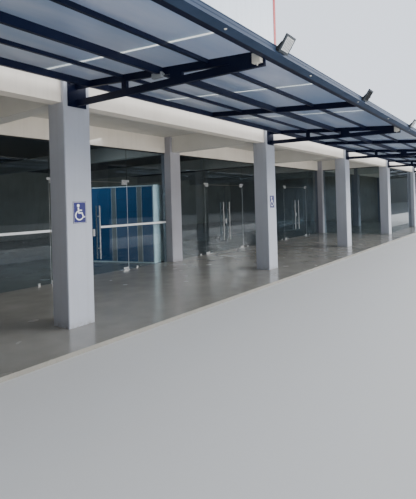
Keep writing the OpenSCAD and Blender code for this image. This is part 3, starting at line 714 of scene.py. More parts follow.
# %% Anchor bolts on the wall plates
PLATE_LOW, PLATE_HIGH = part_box("canopy_wall_plates")
BOLT_X, BOLT_IN = 0.11, 0.045
WASHER_R, NUT_R = 0.016, 0.0115
THREAD_R = NUT_R * 0.52
WASHER_END, NUT_END, THREAD_END = 0.003, 0.013, 0.021


def add_bolt(bm, place, outward):
    """A washer, a nut and a thread end on a face, from its middle outwards."""
    place, outward = Vector(place), Vector(outward)
    add_rod(bm, place, place + outward * WASHER_END, WASHER_R)
    add_rod(bm, place + outward * WASHER_END, place + outward * NUT_END, NUT_R, sides=6)
    add_rod(bm, place + outward * NUT_END, place + outward * THREAD_END, THREAD_R, sides=12)


bolts = bmesh.new()
for i in range(BAY_COUNT + 1):
    for x in (-BOLT_X, BOLT_X):
        for z in (PLATE_LOW.z + BOLT_IN, PLATE_HIGH.z - BOLT_IN):
            add_bolt(bolts, (column_x(i) + x, PLATE_LOW.y, z), (0, -1, 0))
finish_piece(bolts, "anchor_bolts", canopy_steel)

# %% [markdown]
# The blue plates carry the general sign for wheelchair users: a head, a bent body and
# most of a wheel, in white enamel within a white line. The limbs are blocks turned in the
# plane of the plate, and the wheel is one short edge spun through three quarters of a
# circle.

# %% Plates with the wheelchair sign
ENAMEL = 0.0005
PLATE_W, PLATE_H = 0.2, 0.28
FRAME_IN, LINE = 0.008, 0.003
FIGURE_GROWTH = 1.3
FIGURE_AT = Vector((-0.006, 0, -0.02))
HEAD_AT, HEAD_R = Vector((-0.012, 0, 0.084)), 0.015
# Trunk, arm, thigh, shin and foot: where each starts and ends, and its width
LIMBS = (
    ((-0.012, 0.064), (-0.006, 0.008), 0.015),
    ((-0.010, 0.038), (0.030, 0.036), 0.010),
    ((-0.010, 0.010), (0.034, 0.010), 0.014),
    ((0.030, 0.013), (0.048, -0.036), 0.013),
    ((0.045, -0.034), (0.066, -0.028), 0.011),
)
WHEEL_AT, WHEEL_R, WHEEL_W = (0.0, -0.014), 0.044, 0.011
WHEEL_START, WHEEL_SWEEP, WHEEL_STEPS = math.radians(112), math.radians(236), 24


def flat_bar(bm, origin, start_point, end_point, width):
    """A bar in the plane of the plate, from one point to another with square ends."""
    a, b = Vector(start_point), Vector(end_point)
    middle_point, along = (a + b) / 2, b - a
    turn = Matrix.Rotation(-math.atan2(along.y, along.x), 4, "Y")
    place = (Matrix.Translation(origin + Vector((middle_point.x, 0, middle_point.y))) @ turn
             @ Matrix.Diagonal((along.length, ENAMEL, width, 1)))
    bmesh.ops.create_cube(bm, size=1, matrix=place)


def wheel_arc(bm, origin):
    """Most of a wheel in the plane of the plate, spun from its end section."""
    hub = origin + Vector((WHEEL_AT[0], 0, WHEEL_AT[1]))
    section = add_block(bm, (-WHEEL_W / 2, -ENAMEL / 2, -ENAMEL / 20),
                        (WHEEL_W / 2, ENAMEL / 2, ENAMEL / 20))
    faces = [f for f in bm.faces if f.verts[0] in section]
    end = [f for f in faces if f.normal.z > 0.9][0]
    bmesh.ops.delete(bm, geom=[f for f in faces if f is not end], context="FACES_ONLY")
    keep = list(end.verts)
    bmesh.ops.delete(bm, geom=[v for v in section if v.is_valid and v not in keep],
                     context="VERTS")
    bmesh.ops.translate(bm, verts=keep, vec=(WHEEL_R, 0, 0))
    bmesh.ops.rotate(bm, verts=keep, cent=(0, 0, 0),
                     matrix=Matrix.Rotation(-WHEEL_START, 3, "Y"))
    bmesh.ops.translate(bm, verts=keep, vec=hub)
    geometry = keep + list(end.edges) + [end]
    bmesh.ops.spin(bm, geom=geometry, cent=hub, axis=(0, -1, 0), angle=WHEEL_SWEEP,
                   steps=WHEEL_STEPS)


plate_low, plate_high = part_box("access_plates")
side_x, side_z = PLATE_W / 2 - FRAME_IN, PLATE_H / 2 - FRAME_IN
sign = bmesh.new()
for i, middle_z in ((1, plate_low.z + PLATE_H / 2), (2, plate_high.z - PLATE_H / 2)):
    origin = Vector((column_x(i), plate_low.y - ENAMEL / 2, middle_z))
    for x in (-side_x, side_x):
        flat_bar(sign, origin, (x, -side_z), (x, side_z), LINE)
    for z in (-side_z, side_z):
        flat_bar(sign, origin, (-side_x, z), (side_x, z), LINE)
    frame_points = set(sign.verts)
    figure = origin + FIGURE_AT
    head = figure + HEAD_AT
    half_thick = Vector((0, ENAMEL / 2, 0))
    add_rod(sign, head + half_thick, head - half_thick, HEAD_R, sides=24)
    for limb in LIMBS:
        flat_bar(sign, figure, *limb)
    wheel_arc(sign, figure)
    bmesh.ops.scale(sign, vec=(FIGURE_GROWTH, 1, FIGURE_GROWTH),
                    space=Matrix.Translation(-figure),
                    verts=[v for v in sign.verts if v not in frame_points])
finish_piece(sign, "wheelchair_signs", plate_white)

# %% [markdown]
# Three flat floodlights stand on the gutter. Such a lamp is a die-cast tray with a dark
# rim, a frosted glass over rows of diodes at its front, and cooling ribs across its back.
# The two outer ones shine down and outwards and the middle one up at the sign, so it shows
# its dark back at the front. Each is made upright at the origin, turned round if it
# faces the sign, and then tilted into place over the CAD node that the trays replace.

# %% Floodlights
LAMP_W, LAMP_H, LAMP_T = 0.17, 0.16, 0.025
LAMP_TILT = math.radians(35)
LAMP_SHIFT = 0.2
LAMPS = [(column_x(1), False), (bay_x(1) - LAMP_SHIFT, True), (column_x(2), False)]
lamp_low, lamp_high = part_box("floodlights")
LAMP_FOOT = (lamp_high.y, lamp_low.z + math.sin(LAMP_TILT) * LAMP_T)
RIM, TRAY_BEVEL = 0.022, 0.003
LENS_T, SKIN = 0.0015, 0.0003
RIB_T, RIB_HALF, RIB_COUNT = 0.006, 0.0015, 11
BACK_SKIN = 0.001
DIODE_ROWS, ROW_HALF, ROW_IN, ROW_END = 5, 0.004, 0.018, 0.006


def lamp_place(x, at_sign):
    """From the lamp's own space, front towards -Y and foot at 0, to its place."""
    place = Matrix.Translation((x, *LAMP_FOOT)) @ Matrix.Rotation(LAMP_TILT, 4, "X")
    if at_sign:
        place = place @ Matrix.Translation((0, -LAMP_T, 0)) @ Matrix.Rotation(math.pi, 4, "Z")
    return place


def lamp_block(bm, place, low, high):
    """A block given in the lamp's own space, put in its place."""
    points = add_block(bm, low, high)
    bmesh.ops.transform(bm, matrix=place, verts=points)
    return points


trays, ribs, lenses, rows = (bmesh.new() for n in range(4))
glass_half = LAMP_W / 2 - RIM
for x, at_sign in LAMPS:
    place = lamp_place(x, at_sign)
    round_edges(trays, lamp_block(trays, place, (-LAMP_W / 2, LENS_T - LAMP_T, 0),
                                  (LAMP_W / 2, -RIB_T, LAMP_H)), TRAY_BEVEL)
    lamp_block(lenses, place, (-glass_half, SKIN - LAMP_T, RIM),
               (glass_half, LENS_T - LAMP_T, LAMP_H - RIM))
    lamp_block(ribs, place, (-glass_half, -RIB_T, RIM),
               (glass_half, BACK_SKIN - RIB_T, LAMP_H - RIM))
    for z in evenly(RIM, LAMP_H - RIM, (LAMP_H - 2 * RIM) / (RIB_COUNT - 1)):
        lamp_block(ribs, place, (-glass_half, -RIB_T, z - RIB_HALF),
                   (glass_half, 0, z + RIB_HALF))
    for row in evenly(ROW_IN - glass_half, glass_half - ROW_IN, 2 * glass_half / DIODE_ROWS):
        lamp_block(rows, place, (row - ROW_HALF, -LAMP_T, RIM + ROW_END),
                   (row + ROW_HALF, SKIN - LAMP_T, LAMP_H - RIM - ROW_END))
trays = finish_piece(trays, "floodlight_trays", lamp_rim)
finish_piece(ribs, "floodlight_ribs", lamp_black)
finish_piece(lenses, "floodlight_lenses", lamp_glass)
finish_piece(rows, "floodlight_diode_rows", lamp_rim)
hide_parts("floodlights")

# %% [markdown]
# The gutter is folded from sheet. A rolled bead stiffens its upper edge and a fold runs
# along its front, flat straps tie its lip back to the edge beam, and pale rivet caps close
# the holes underneath. A thin white conduit is clipped to the lip and feeds the floodlights.
# It is a long rod, with short thicker rods for its clips.

# %% Gutter trim and conduit
GUTTER_LOW, GUTTER_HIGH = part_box("canopy_gutter")
GUTTER_MID = (GUTTER_LOW.y + GUTTER_HIGH.y) / 2
LIP, BEAD_R = 0.015, 0.005
FOLD_OUT, FOLD_HALF, FOLD_BEVEL = 0.003, 0.004, 0.0015
STRAP_HALF, STRAP_T, STRAP_IN = 0.0125, 0.003, 0.1
CAP_START, CAP_STEP = -9.671, 1.56
CAP_R, CAP_TIP_R, CAP_H = 0.013, 0.008, 0.006

folds = bmesh.new()
add_rod(folds, (GUTTER_LOW.x, GUTTER_LOW.y, GUTTER_HIGH.z),
        (GUTTER_HIGH.x, GUTTER_LOW.y, GUTTER_HIGH.z), BEAD_R, sides=12)
fold_z = (GUTTER_LOW.z + GUTTER_HIGH.z) / 2
round_edges(folds, add_block(folds, (GUTTER_LOW.x, GUTTER_LOW.y - FOLD_OUT, fold_z - FOLD_HALF),
                             (GUTTER_HIGH.x, GUTTER_LOW.y, fold_z + FOLD_HALF)), FOLD_BEVEL)
for x in evenly(GUTTER_LOW.x + STRAP_IN, GUTTER_HIGH.x - STRAP_IN, BAY / 4):
    add_block(folds, (x - STRAP_HALF, GUTTER_LOW.y, GUTTER_HIGH.z),
              (x + STRAP_HALF, GUTTER_HIGH.y, GUTTER_HIGH.z + STRAP_T))
finish_piece(folds, "gutter_folds_and_straps", gutter_paint)

caps = bmesh.new()
first_cap = CAP_START - CAP_STEP * int((CAP_START - GUTTER_LOW.x) / CAP_STEP)
for x in [first_cap + n * CAP_STEP for n in range(int(2 * GUTTER_HIGH.x / CAP_STEP))]:
    add_rod(caps, (x, GUTTER_MID, GUTTER_LOW.z), (x, GUTTER_MID, GUTTER_LOW.z - CAP_H), CAP_R,
            top_radius=CAP_TIP_R)
finish_piece(caps, "gutter_rivet_caps", box_plastic)

CONDUIT_R, CONDUIT_IN = 0.005, 0.1
CLIP_STEP, CLIP_R, CLIP_HALF_W = 0.4, 0.0065, 0.006
conduit = bmesh.new()
conduit_y, conduit_z = GUTTER_LOW.y + LIP / 2, GUTTER_HIGH.z + CONDUIT_R
conduit_x = (LAMPS[0][0] + CONDUIT_IN, LAMPS[2][0] - CONDUIT_IN)
add_rod(conduit, (conduit_x[0], conduit_y, conduit_z), (conduit_x[1], conduit_y, conduit_z),
        CONDUIT_R, sides=10)
for x in evenly(*conduit_x, CLIP_STEP):
    add_rod(conduit, (x - CLIP_HALF_W, conduit_y, conduit_z),
            (x + CLIP_HALF_W, conduit_y, conduit_z), CLIP_R, sides=10)
finish_piece(conduit, "floodlight_conduit", conduit_white)

# %% [markdown]
# The boxes at the tips of two trusses have a lid with four screws and a gland in the
# bottom. The lid is a little smaller than its box, with a fine bevel.

# %% Junction box lids
BOX_LOW, BOX_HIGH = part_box("junction_boxes")
BOX_T = 0.05
LID_T, LID_IN, LID_BEVEL = 0.003, 0.003, 0.001
LID_SCREW_IN, LID_SCREW_R = 0.01, 0.004
GLAND_R, GLAND_H = 0.01, 0.012
NOZZLE_R, NOZZLE_H = 0.007, 0.02

lids = bmesh.new()
for face_x in (BOX_LOW.x, BOX_HIGH.x - BOX_T):
    lid_low = Vector((face_x - LID_T, BOX_LOW.y + LID_IN, BOX_LOW.z + LID_IN))
    lid_high = Vector((face_x, BOX_HIGH.y - LID_IN, BOX_HIGH.z - LID_IN))
    round_edges(lids, add_block(lids, lid_low, lid_high), LID_BEVEL)
    for y in (lid_low.y + LID_SCREW_IN, lid_high.y - LID_SCREW_IN):
        for z in (lid_low.z + LID_SCREW_IN, lid_high.z - LID_SCREW_IN):
            add_screw(lids, (lid_low.x, y, z), (-1, 0, 0), LID_SCREW_R)
    gland = Vector((face_x + BOX_T / 2, (BOX_LOW.y + BOX_HIGH.y) / 2, BOX_LOW.z))
    gland_foot = gland - Vector((0, 0, GLAND_H))
    add_rod(lids, gland, gland_foot, GLAND_R, sides=6)
    add_rod(lids, gland_foot, gland - Vector((0, 0, NOZZLE_H)), NOZZLE_R)
finish_piece(lids, "junction_box_lids", box_plastic)

# %% [markdown]
# A small grey box sits between the chords of the near truss, on its left side, where the
# wires of the lamps are joined. It is a bevelled block with a lid and a gland at each end.

# %% Wiring box on the near truss
TRUSS_HALF = 0.02
WIRING_Y, WIRING_Z = (-1.55, -1.41), (2.952, 3.012)
WIRING_T, WIRING_BEVEL = 0.045, 0.004
COVER_T, COVER_IN = 0.004, 0.005
END_GLAND_R, END_GLAND_L, END_GLAND_IN = 0.009, 0.025, 0.02

wiring_box = bmesh.new()
truss_face = column_x(1) - TRUSS_HALF
box_face = truss_face - WIRING_T
round_edges(wiring_box, add_block(wiring_box, (box_face, WIRING_Y[0], WIRING_Z[0]),
                                  (truss_face, WIRING_Y[1], WIRING_Z[1])), WIRING_BEVEL)
round_edges(wiring_box,
            add_block(wiring_box,
                      (box_face - COVER_T, WIRING_Y[0] + COVER_IN, WIRING_Z[0] + COVER_IN),
                      (box_face, WIRING_Y[1] - COVER_IN, WIRING_Z[1] - COVER_IN)), LID_BEVEL)
gland_x, gland_z = truss_face - END_GLAND_IN, sum(WIRING_Z) / 2
for foot, outward in ((WIRING_Y[1], 1), (WIRING_Y[0], -1)):
    add_rod(wiring_box, (gland_x, foot, gland_z),
            (gland_x, foot + outward * END_GLAND_L, gland_z), END_GLAND_R, sides=6)
finish_piece(wiring_box, "truss_wiring_box", box_grey)

# %% [markdown]
# Where the purlins meet the trusses and rafters they are welded, and the welds stay as
# low rough ridges under the paint. Above, each cap over a sheet joint is screwed to every
# purlin with a pair of roofing screws, each on a round washer.

# %% Welds and roofing screws
CANOPY_Z, CANOPY_FALL = FLOOR_Z + 3.145, 0.085
FIRST_PURLIN, PURLIN_STEP = 0.275, 0.62
# Height and half width of each purlin, deep and shallow in turn
PURLIN_SIZES = ((0.08, 0.025), (0.04, 0.02), (0.08, 0.025), (0.04, 0.02))
PURLINS = [(FIRST_PURLIN + n * PURLIN_STEP, *size) for n, size in enumerate(PURLIN_SIZES)]
WELD_R, WELD_TOP = 0.003, 0.004
FIRST_JOINT, JOINT_STEP, JOINT_COUNT = 0.814, 2.0, 16
CAP_TOP, SCREW_APART = 0.0143, 0.026
ROUND_R, ROUND_T = 0.008, 0.0015
HEXAGON_R, HEXAGON_TOP = 0.0045, 0.006


def canopy_height(out):
    """Upper face of the steel at this distance out from the columns."""
    return CANOPY_Z - CANOPY_FALL * out


welds = bmesh.new()
for i in range(2 * BAY_COUNT + 1):
    for side in (-1, 1):
        x = column_x(i / 2) + side * TRUSS_HALF
        if abs(x) > -column_x(0):
            continue
        for out, height, reach in PURLINS:
            for edge in (-reach, reach):
                at = Vector((x, edge - out, canopy_height(out - edge)))
                add_rod(welds, at - Vector((0, 0, height)), at - Vector((0, 0, WELD_TOP)),
                        WELD_R, sides=6)
            add_rod(welds, (x, reach - out, canopy_height(out - reach) - height),
                    (x, -reach - out, canopy_height(out + reach) - height), WELD_R, sides=6)
finish_piece(welds, "canopy_welds", canopy_steel)

roofing = bmesh.new()
up_slope = Vector((0, -CANOPY_FALL, 1)).normalized()
for n in range(JOINT_COUNT):
    joint = GUTTER_LOW.x + FIRST_JOINT + n * JOINT_STEP
    for out in [purlin[0] for purlin in PURLINS]:
        for x in (joint - SCREW_APART, joint + SCREW_APART):
            at = Vector((x, -out, canopy_height(out) + CAP_TOP))
            washer_top = at + up_slope * ROUND_T
            add_rod(roofing, at, washer_top, ROUND_R, sides=12)
            add_rod(roofing, washer_top, at + up_slope * HEXAGON_TOP, HEXAGON_R, sides=6)
finish_piece(roofing, "roofing_screws", coping_aluminium)

# %% [markdown]
# The sign's face is made of boards that meet in upright seams, covered with flat strips,
# and the red border is screwed on every half metre. Its field is left plain white.

# %% Sign seams and screws
SIGN_LOW, SIGN_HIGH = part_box("sign_panel")
BORDER_LOW, BORDER_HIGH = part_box("sign_border")
BOARD_COUNT = 5
STRIP_HALF, STRIP_THICK = 0.012, 0.0015
SCREW_STEP = 0.52

seams = bmesh.new()
for n in range(1, BOARD_COUNT):
    x = SIGN_LOW.x + n * (SIGN_HIGH.x - SIGN_LOW.x) / BOARD_COUNT
    for y0, y1 in ((SIGN_LOW.y - STRIP_THICK, SIGN_LOW.y),
                   (SIGN_HIGH.y, SIGN_HIGH.y + STRIP_THICK)):
        add_block(seams, (x - STRIP_HALF, y0, SIGN_LOW.z), (x + STRIP_HALF, y1, SIGN_HIGH.z))
finish_piece(seams, "sign_seams", sign_white)

screws = bmesh.new()
border_mid = (BORDER_HIGH.x - SIGN_HIGH.x) / 2
for x in evenly(BORDER_LOW.x + border_mid, BORDER_HIGH.x - border_mid, SCREW_STEP):
    for z in (BORDER_LOW.z + border_mid, BORDER_HIGH.z - border_mid):
        add_screw(screws, (x, BORDER_LOW.y, z), (0, -1, 0))
for z in evenly(BORDER_LOW.z + border_mid, BORDER_HIGH.z - border_mid, SCREW_STEP)[1:-1]:
    for x in (BORDER_LOW.x + border_mid, BORDER_HIGH.x - border_mid):
        add_screw(screws, (x, BORDER_LOW.y, z), (0, -1, 0))
finish_piece(screws, "sign_screws", stainless)

# %% [markdown]
# The pull handles are tubes on two stand-offs. Where a stand-off meets the glass, a round
# rosette spreads the load over a washer. Patch fittings are closed with two countersunk
# screws on each face, and the lock case on each right leaf has a round cylinder. All of
# them swing with their leaf.

# %% Rosettes, patch screws and lock cylinders
PULL_X, PULL_LOW, PULL_LEN = 0.165, FLOOR_Z + 0.35, 1.2
ROSETTE_R, ROSETTE_TIP_R, ROSETTE_H = 0.017, 0.017 * 0.85, 0.004
PATCH_T = 0.032
PATCH_SCREWS, PATCH_SCREW_R = (0.028, 0.132), 0.005
LOCK_X, LOCK_Z = 0.0355, FLOOR_Z + 0.95
# Radius and height of the lock's collar and of the cylinder inside it
LOCK_STEPS = ((0.014, 0.003), (0.009, 0.006))
LOCK_SCREW_Z, LOCK_SCREW_R = 0.06, 0.004


def add_rosettes(bm, x, y, face):
    """A rosette at each stand-off of a pull handle, on one face of the glass."""
    for z in (PULL_LOW + PULL_LEN / 5, PULL_LOW + PULL_LEN * 4 / 5):
        at = Vector((x, y, z))
        add_rod(bm, at, at + Vector((0, face * ROSETTE_H, 0)), ROSETTE_R, sides=24,
                top_radius=ROSETTE_TIP_R)


def add_lock(bm, x, y, face):
    """The collar, cylinder and two screws of a lock, on one face of its case."""
    lock = Vector((x, y, LOCK_Z))
    for radius, height in LOCK_STEPS:
        add_rod(bm, lock, lock + Vector((0, face * height, 0)), radius, sides=24)
    for z in (-LOCK_SCREW_Z, LOCK_SCREW_Z):
        add_screw(bm, lock + Vector((0, 0, z)), (0, face, 0), LOCK_SCREW_R)


def door_trim(bay_number, side, sign_x):
    """All small fittings of one leaf, as one piece that swings with it."""
    fittings_low, fittings_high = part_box(f"bay_{bay_number}_{side}_fittings")
    middle = bay_x(bay_number - 1)
    trim = bmesh.new()
    for face, y in ((-1, GLASS_FRONT), (1, GLASS_BACK)):
        add_rosettes(trim, middle + sign_x * PULL_X, y, face)
        patch_face = GLASS_MID + face * PATCH_T / 2
        for z in (fittings_low.z + PATCH_H / 2, fittings_high.z - PATCH_H / 2):
            for inset in PATCH_SCREWS:
                add_screw(trim, (middle + sign_x * (LEAF_EDGE - inset), patch_face, z),
                          (0, face, 0), PATCH_SCREW_R)
        if side == "right":
            add_lock(trim, middle + LOCK_X, patch_face, face)
    finish_piece(trim, f"bay_{bay_number}_{side}_trim", stainless,
                 f"bay_{bay_number}_{side}_door")


for k in DOOR_BAYS:
    door_trim(k + 1, "left", -1)
    door_trim(k + 1, "right", 1)

# %% [markdown]
# The fixed fittings have screws as well: two in each patch over the doors, one in each
# clamp at the foot of the glass, and four in the cover plate of each floor spring.

# %% Screws of the fixed fittings
PATCH_MID = PATCH_TOP - PATCH_H / 2
OVER_SCREWS = (-0.115, 0.03)
CLAMP_X, CLAMP_H, CLAMP_SCREW_R = 0.2725, 0.045, 0.007
SPRING_L, SPRING_W, SPRING_H = 0.28, 0.1, 0.003
SPRING_IN = 0.012

fixed_screws = bmesh.new()
for k in DOOR_BAYS:
    for sign_x in (-1, 1):
        for face in (-1, 1):
            y = GLASS_MID + face * PATCH_T / 2
            for out in OVER_SCREWS:
                add_screw(fixed_screws, (bay_x(k) + sign_x * (PAIR_HALF + out), y, PATCH_MID),
                          (0, face, 0), PATCH_SCREW_R)
            add_screw(fixed_screws,
                      (bay_x(k) + sign_x * (PAIR_HALF + CLAMP_X), y, FLOOR_Z + CLAMP_H / 2),
                      (0, face, 0), CLAMP_SCREW_R)
            for inset in (SPRING_IN, SPRING_L - SPRING_IN):
                at = (bay_x(k) + sign_x * (PAIR_HALF - inset),
                      GLASS_MID + face * (SPRING_W / 2 - SPRING_IN), FLOOR_Z + SPRING_H)
                add_screw(fixed_screws, at, (0, 0, 1), PATCH_SCREW_R)
finish_piece(fixed_screws, "fixed_fitting_screws", stainless)

# %% [markdown]
# Behind the glass of the second bay stands a screen of blue panels in a pale frame, a
# little askew. Each panel is divided by dark seams into six equal fields, and grey strips
# cover the posts between the panels. They are laid out square, in the screen's own space,
# and then turned with it.

# %% Panel seams and post strips of the screen
SCREEN_X, SCREEN_IN, SCREEN_SKEW = 2.05, 0.095, math.radians(16)
SCREEN_L, SCREEN_H, SCREEN_EDGE, POST = 2.76, 2.06, 0.03, 0.15
PANEL_SET = 0.008
WHOLE_PANELS, FIELDS = 3, 6
SEAM_HALF, SEAM_T = 0.003, 0.001
COVER_IN_POST, COVER_THICK = 0.01, 0.0015
PANEL = (SCREEN_L - 2 * SCREEN_EDGE - WHOLE_PANELS * POST) / (WHOLE_PANELS + 0.5)
screen_place = (Matrix.Translation((bay_x(1) + SCREEN_X, GLASS_MID + SCREEN_IN, FLOOR_Z))
                @ Matrix.Rotation(SCREEN_SKEW, 4, "Z"))

seams, strips = bmesh.new(), bmesh.new()
for n in range(WHOLE_PANELS + 1):
    far = SCREEN_EDGE + PANEL / 2 + n * (PANEL + POST)
    near = far - (PANEL / 2 if n == 0 else PANEL)
    for z in evenly(SCREEN_EDGE, SCREEN_H - SCREEN_EDGE, (SCREEN_H - 2 * SCREEN_EDGE) / FIELDS):
        add_block(seams, (PANEL_SET - SEAM_T, near, z - SEAM_HALF),
                  (PANEL_SET, far, z + SEAM_HALF))
    if n < WHOLE_PANELS:
        add_block(strips, (-COVER_THICK, far + COVER_IN_POST, SCREEN_EDGE),
                  (0, far + POST - COVER_IN_POST, SCREEN_H - SCREEN_EDGE))
for shapes in (seams, strips):
    bmesh.ops.transform(shapes, matrix=screen_place, verts=shapes.verts)
finish_piece(seams, "screen_panel_seams", screen_seam)
finish_piece(strips, "screen_post_strips", screen_grey)

# %% [markdown]
# The flat roof is covered with mineral felt. One more sheet of it laps from the deck over
# the slab above the arcade, and along every parapet it is turned up and held by a flat
# aluminium bar with a screw every half metre. One function turns the felt up along a
# wall, whichever way the wall faces.

# %% Felt upstands
ARCADE_LOW, ARCADE_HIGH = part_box("arcade_ceiling")
DECK_LOW, DECK_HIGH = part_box("roof_deck")
FELT, FELT_LAP = 0.005, 0.15
UPSTAND = 0.15
BAR_H, BAR_T = 0.025, 0.003
BAR_SCREW_IN, BAR_SCREW_STEP, BAR_SCREW_R = 0.1, 0.5, 0.005
COLUMN_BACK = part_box("outer_columns")[1].y
roof_z = DECK_HIGH.z

felt = bmesh.new()
add_block(felt, (DECK_LOW.x, ARCADE_LOW.y, roof_z),
          (DECK_HIGH.x, DECK_LOW.y + FELT_LAP, roof_z + FELT))
bars = bmesh.new()


def add_upstand(low, high, outward):
    """Felt turned up on a wall face, with its bar. outward points away from the wall."""
    low, high, outward = Vector(low), Vector(high), Vector(outward)
    for bm, thick, z0, z1 in ((felt, FELT, roof_z, roof_z + UPSTAND),
                              (bars, FELT + BAR_T, roof_z + UPSTAND - 1.5 * BAR_H,
                               roof_z + UPSTAND - 0.5 * BAR_H)):
        far = high + outward * thick
        add_block(bm, (min(low.x, far.x), min(low.y, far.y), z0),
                  (max(low.x, far.x), max(low.y, far.y), z1))
    along = high - low
    for n in evenly(BAR_SCREW_IN, along.length - BAR_SCREW_IN, BAR_SCREW_STEP):
        at = low + along.normalized() * n + outward * (FELT + BAR_T)
        add_screw(bars, (at.x, at.y, roof_z + UPSTAND - BAR_H), outward, BAR_SCREW_R)


for k in range(BAY_COUNT):
    add_upstand((column_x(k) + COLUMN_HALF, ARCADE_LOW.y, 0),
                (column_x(k + 1) - COLUMN_HALF, ARCADE_LOW.y, 0), (0, 1, 0))
for x, inward in ((DECK_LOW.x, 1), (DECK_HIGH.x, -1)):
    add_upstand((x, COLUMN_BACK, 0), (x, DECK_HIGH.y, 0), (inward, 0, 0))
add_upstand((DECK_LOW.x, DECK_HIGH.y, 0), (DECK_HIGH.x, DECK_HIGH.y, 0), (0, -1, 0))
finish_piece(felt, "felt_lap_and_upstands", roof_felt)
finish_piece(bars, "upstand_bars", coping_aluminium)

# %% [markdown]
# The rain leaves through outlets near the rear wall, each under a domed leaf guard: a
# flange, a ring, and a cap on a circle of slanting ribs, all of them rods and cones.

# %% Roof outlets
OUTLET_R, OUTLET_H, OUTLET_RIBS = 0.11, 0.1, 12
OUTLET_IN = 0.5
FLANGE_T, RING_T, CAP_T, OUTLET_RIB_R = 0.006, 0.02, 0.008, 0.004

outlets = bmesh.new()
for k in range(BAY_COUNT):
    foot = Vector((bay_x(k), DECK_HIGH.y - OUTLET_IN, roof_z))
    add_rod(outlets, foot, foot + Vector((0, 0, FLANGE_T)), OUTLET_R * 1.3, sides=32)
    add_rod(outlets, foot, foot + Vector((0, 0, RING_T)), OUTLET_R, sides=32)
    cap = foot + Vector((0, 0, OUTLET_H))
    add_rod(outlets, cap - Vector((0, 0, CAP_T)), cap, OUTLET_R * 0.5, sides=24,
            top_radius=OUTLET_R * 0.4)
    for n in range(OUTLET_RIBS):
        turn = n * 2 * math.pi / OUTLET_RIBS
        ray = Vector((math.cos(turn), math.sin(turn), 0))
        add_rod(outlets, foot + ray * OUTLET_R * 0.92, cap + ray * OUTLET_R * 0.42,
                OUTLET_RIB_R, sides=6)
finish_piece(outlets, "roof_outlets", lamp_black)

# %% [markdown]
# The rear wall is as long as the building, so its render is divided at every column by a
# joint filled with grey sealant, which shows as six even fields.

# %% Joints of the rear wall
REAR_LOW, REAR_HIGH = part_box("rear_wall")
SEALANT_HALF, SEALANT_T = 0.008, 0.0008
rear_joints = bmesh.new()
for i in range(1, BAY_COUNT):
    add_block(rear_joints, (column_x(i) - SEALANT_HALF, REAR_HIGH.y, REAR_LOW.z),
              (column_x(i) + SEALANT_HALF, REAR_HIGH.y + SEALANT_T, REAR_HIGH.z))
finish_piece(rear_joints, "rear_wall_joints", silicone)

# %% [markdown]
# The copings are folded from 3 m lengths of sheet. A flat clip lies under and over each
# butt joint, so from above a coping is divided by slightly raised bands.

# %% Coping joint clips
COPING_LOW, COPING_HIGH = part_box("parapet_copings")
FRONT_COPING_W, COPING_W, COPING_LENGTH = 0.4, 0.26, 3
CLIP_HALF, CLIP_T = 0.05, 0.0012
clips = bmesh.new()
for x in evenly(COPING_LOW.x, COPING_HIGH.x, COPING_LENGTH)[1:-1]:
    for low_y, high_y in ((COPING_LOW.y, COPING_LOW.y + FRONT_COPING_W),
                          (COPING_HIGH.y - COPING_W, COPING_HIGH.y)):
        add_block(clips, (x - CLIP_HALF, low_y, COPING_HIGH.z),
                  (x + CLIP_HALF, high_y, COPING_HIGH.z + CLIP_T))
for y in evenly(COPING_LOW.y, COPING_HIGH.y, COPING_LENGTH)[1:-1]:
    for low_x, high_x in ((COPING_LOW.x, COPING_LOW.x + COPING_W),
                          (COPING_HIGH.x - COPING_W, COPING_HIGH.x)):
        add_block(clips, (low_x, y - CLIP_HALF, COPING_HIGH.z),
                  (high_x, y + CLIP_HALF, COPING_HIGH.z + CLIP_T))
finish_piece(clips, "coping_joint_clips", coping_aluminium)

# %% [markdown]
# The studio has a plain pale floor and a bright even sky. A dark flag on the left keeps
# light off the sides that face along the arcade. Dark cloths far in front and on the floor
# show only in mirror images: without them the glass would mirror an empty white studio.

# %% Floor, cloths and sky
STUDIO = 300
COAT_ROUGHNESS = 0.85
UPRIGHT = math.pi / 2
SKY_STRENGTH = 2.0


def stage_plate(name, colour, place, turn, size):
    """A flat oblong of the studio, with a matt coat of one colour."""
    plate = bmesh.new()
    bmesh.ops.create_grid(plate, x_segments=1, y_segments=1, size=0.5)
    mesh = bpy.data.meshes.new(name)
    plate.to_mesh(mesh)
    plate.free()
    coat = bpy.data.materials.new(name + "_coat")
    coat.use_nodes = True
    shader = coat.node_tree.nodes["Principled BSDF"]
    shader.inputs["Base Color"].default_value = linear(colour)
    shader.inputs["Roughness"].default_value = COAT_ROUGHNESS
    mesh.materials.append(coat)
    plate = bpy.data.objects.new(name, mesh)
    plate.location = place
    plate.rotation_euler = turn
    plate.scale = (*size, 1)
    bpy.context.collection.objects.link(plate)
    return plate


studio_floor = stage_plate("studio_floor", "#d4d2cd", (0, 0, 0), (0, 0, 0), (STUDIO, STUDIO))
for name, colour, place, turn, size in (
        ("mirrored_cloth", "#2c3138", (40, -28, 9), (UPRIGHT, 0, 0), (400, 18)),
        ("mirrored_floor_cloth", "#3a3f45", (40, -16.5, 0.02), (0, 0, 0), (400, 23))):
    cloth = stage_plate(name, colour, place, turn, size)
    cloth.visible_camera = cloth.visible_diffuse = cloth.visible_shadow = False
flag = stage_plate("dark_flag", "#101214", (-21, -20, 8), (UPRIGHT, 0, UPRIGHT), (46, 16))
flag.visible_camera = flag.visible_glossy = False

world = bpy.data.worlds.new("even_sky")
world.use_nodes = True
sky = world.node_tree.nodes["Background"]
sky.inputs["Color"].default_value = linear("#dbe3f0")
sky.inputs["Strength"].default_value = SKY_STRENGTH
bpy.context.scene.world = world
print("studio floor, two cloths, a flag and the sky")

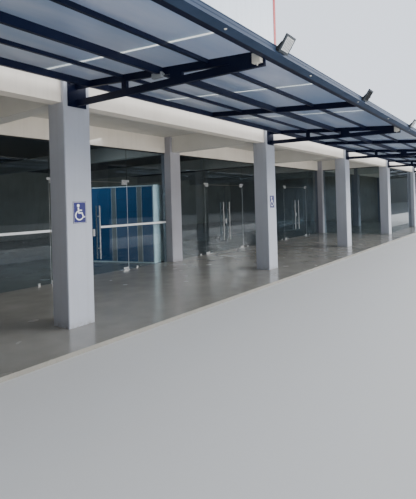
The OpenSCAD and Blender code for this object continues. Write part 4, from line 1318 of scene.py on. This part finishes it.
# %% [markdown]
# One large soft lamp stands in front of the building, so the fronts of the columns are
# light. A wide low lamp gives the light that a pale floor throws up under the canopy. Light
# linking keeps it off the studio floor, where its edge would show as a line, and off the
# outer columns, whose sides stay dark then. A small lamp lights only the end of the screen.
# Inside the shop a few dim lamps under the roof keep the glass from going black.

# %% Lamps
COOL_WHITE, WARM_WHITE, SHOP_WHITE = "#f4f8ff", "#fff8ee", "#c4d8ff"


def soft_lamp(name, place, aim, size, power, colour="#ffffff", mirrored=True):
    """An area lamp. One that isn't mirrored shows neither in gloss nor through glass."""
    data = bpy.data.lights.new(name, "AREA")
    data.shape = "RECTANGLE"
    data.size, data.size_y = size
    data.energy = power
    data.color = linear(colour)[:3]
    lamp = bpy.data.objects.new(name, data)
    lamp.location = place
    lamp.rotation_euler = (Vector(aim) - Vector(place)).to_track_quat("-Z", "Y").to_euler()
    lamp.visible_camera = False
    lamp.visible_glossy = lamp.visible_transmission = mirrored
    bpy.context.collection.objects.link(lamp)
    return lamp


def light_only(lamp, objects, state):
    """Light linking: the lamp lights only these objects, or with EXCLUDE all but them."""
    group = bpy.data.collections.new(lamp.name + "_link")
    for item in objects:
        group.objects.link(item)
    lamp.light_linking.receiver_collection = group
    for entry in group.collection_objects:
        entry.light_linking.link_state = state


# For each lamp: where it is, what it aims at, its width and height, and its power in watts
soft_lamp("front_lamp", (22, -30, 14), (0, 0, 1), (36, 14), 18000)
bounce = soft_lamp("low_bounce", (-3, -6.5, 0.3), (-3, -1, 3.2), (40, 4), 1900, WARM_WHITE,
                   mirrored=False)
light_only(bounce, (studio_floor, nodes["outer_columns"]), "EXCLUDE")
soft_lamp("entrance_lamp", (bay_x(1), 4.6, 2.85), (bay_x(1) + 0.8, 4.2, 0), (3, 2), 40,
          COOL_WHITE, mirrored=False)
screen_end = screen_place @ Vector((0.2, 0, SCREEN_H / 2))
screen_lamp = soft_lamp("screen_lamp", screen_end + Vector((0.7, -1.9, 0.9)), screen_end,
                        (1, 1), 110, COOL_WHITE, mirrored=False)
light_only(screen_lamp, (nodes["screen_carcass"],), "INCLUDE")
for k in range(BAY_COUNT):
    soft_lamp(f"shop_lamp_{k}", (bay_x(k), 7, 2.9), (bay_x(k), 7, 0), (3, 6), 40, SHOP_WHITE,
              mirrored=False)
print("lamps:", len(bpy.data.lights))
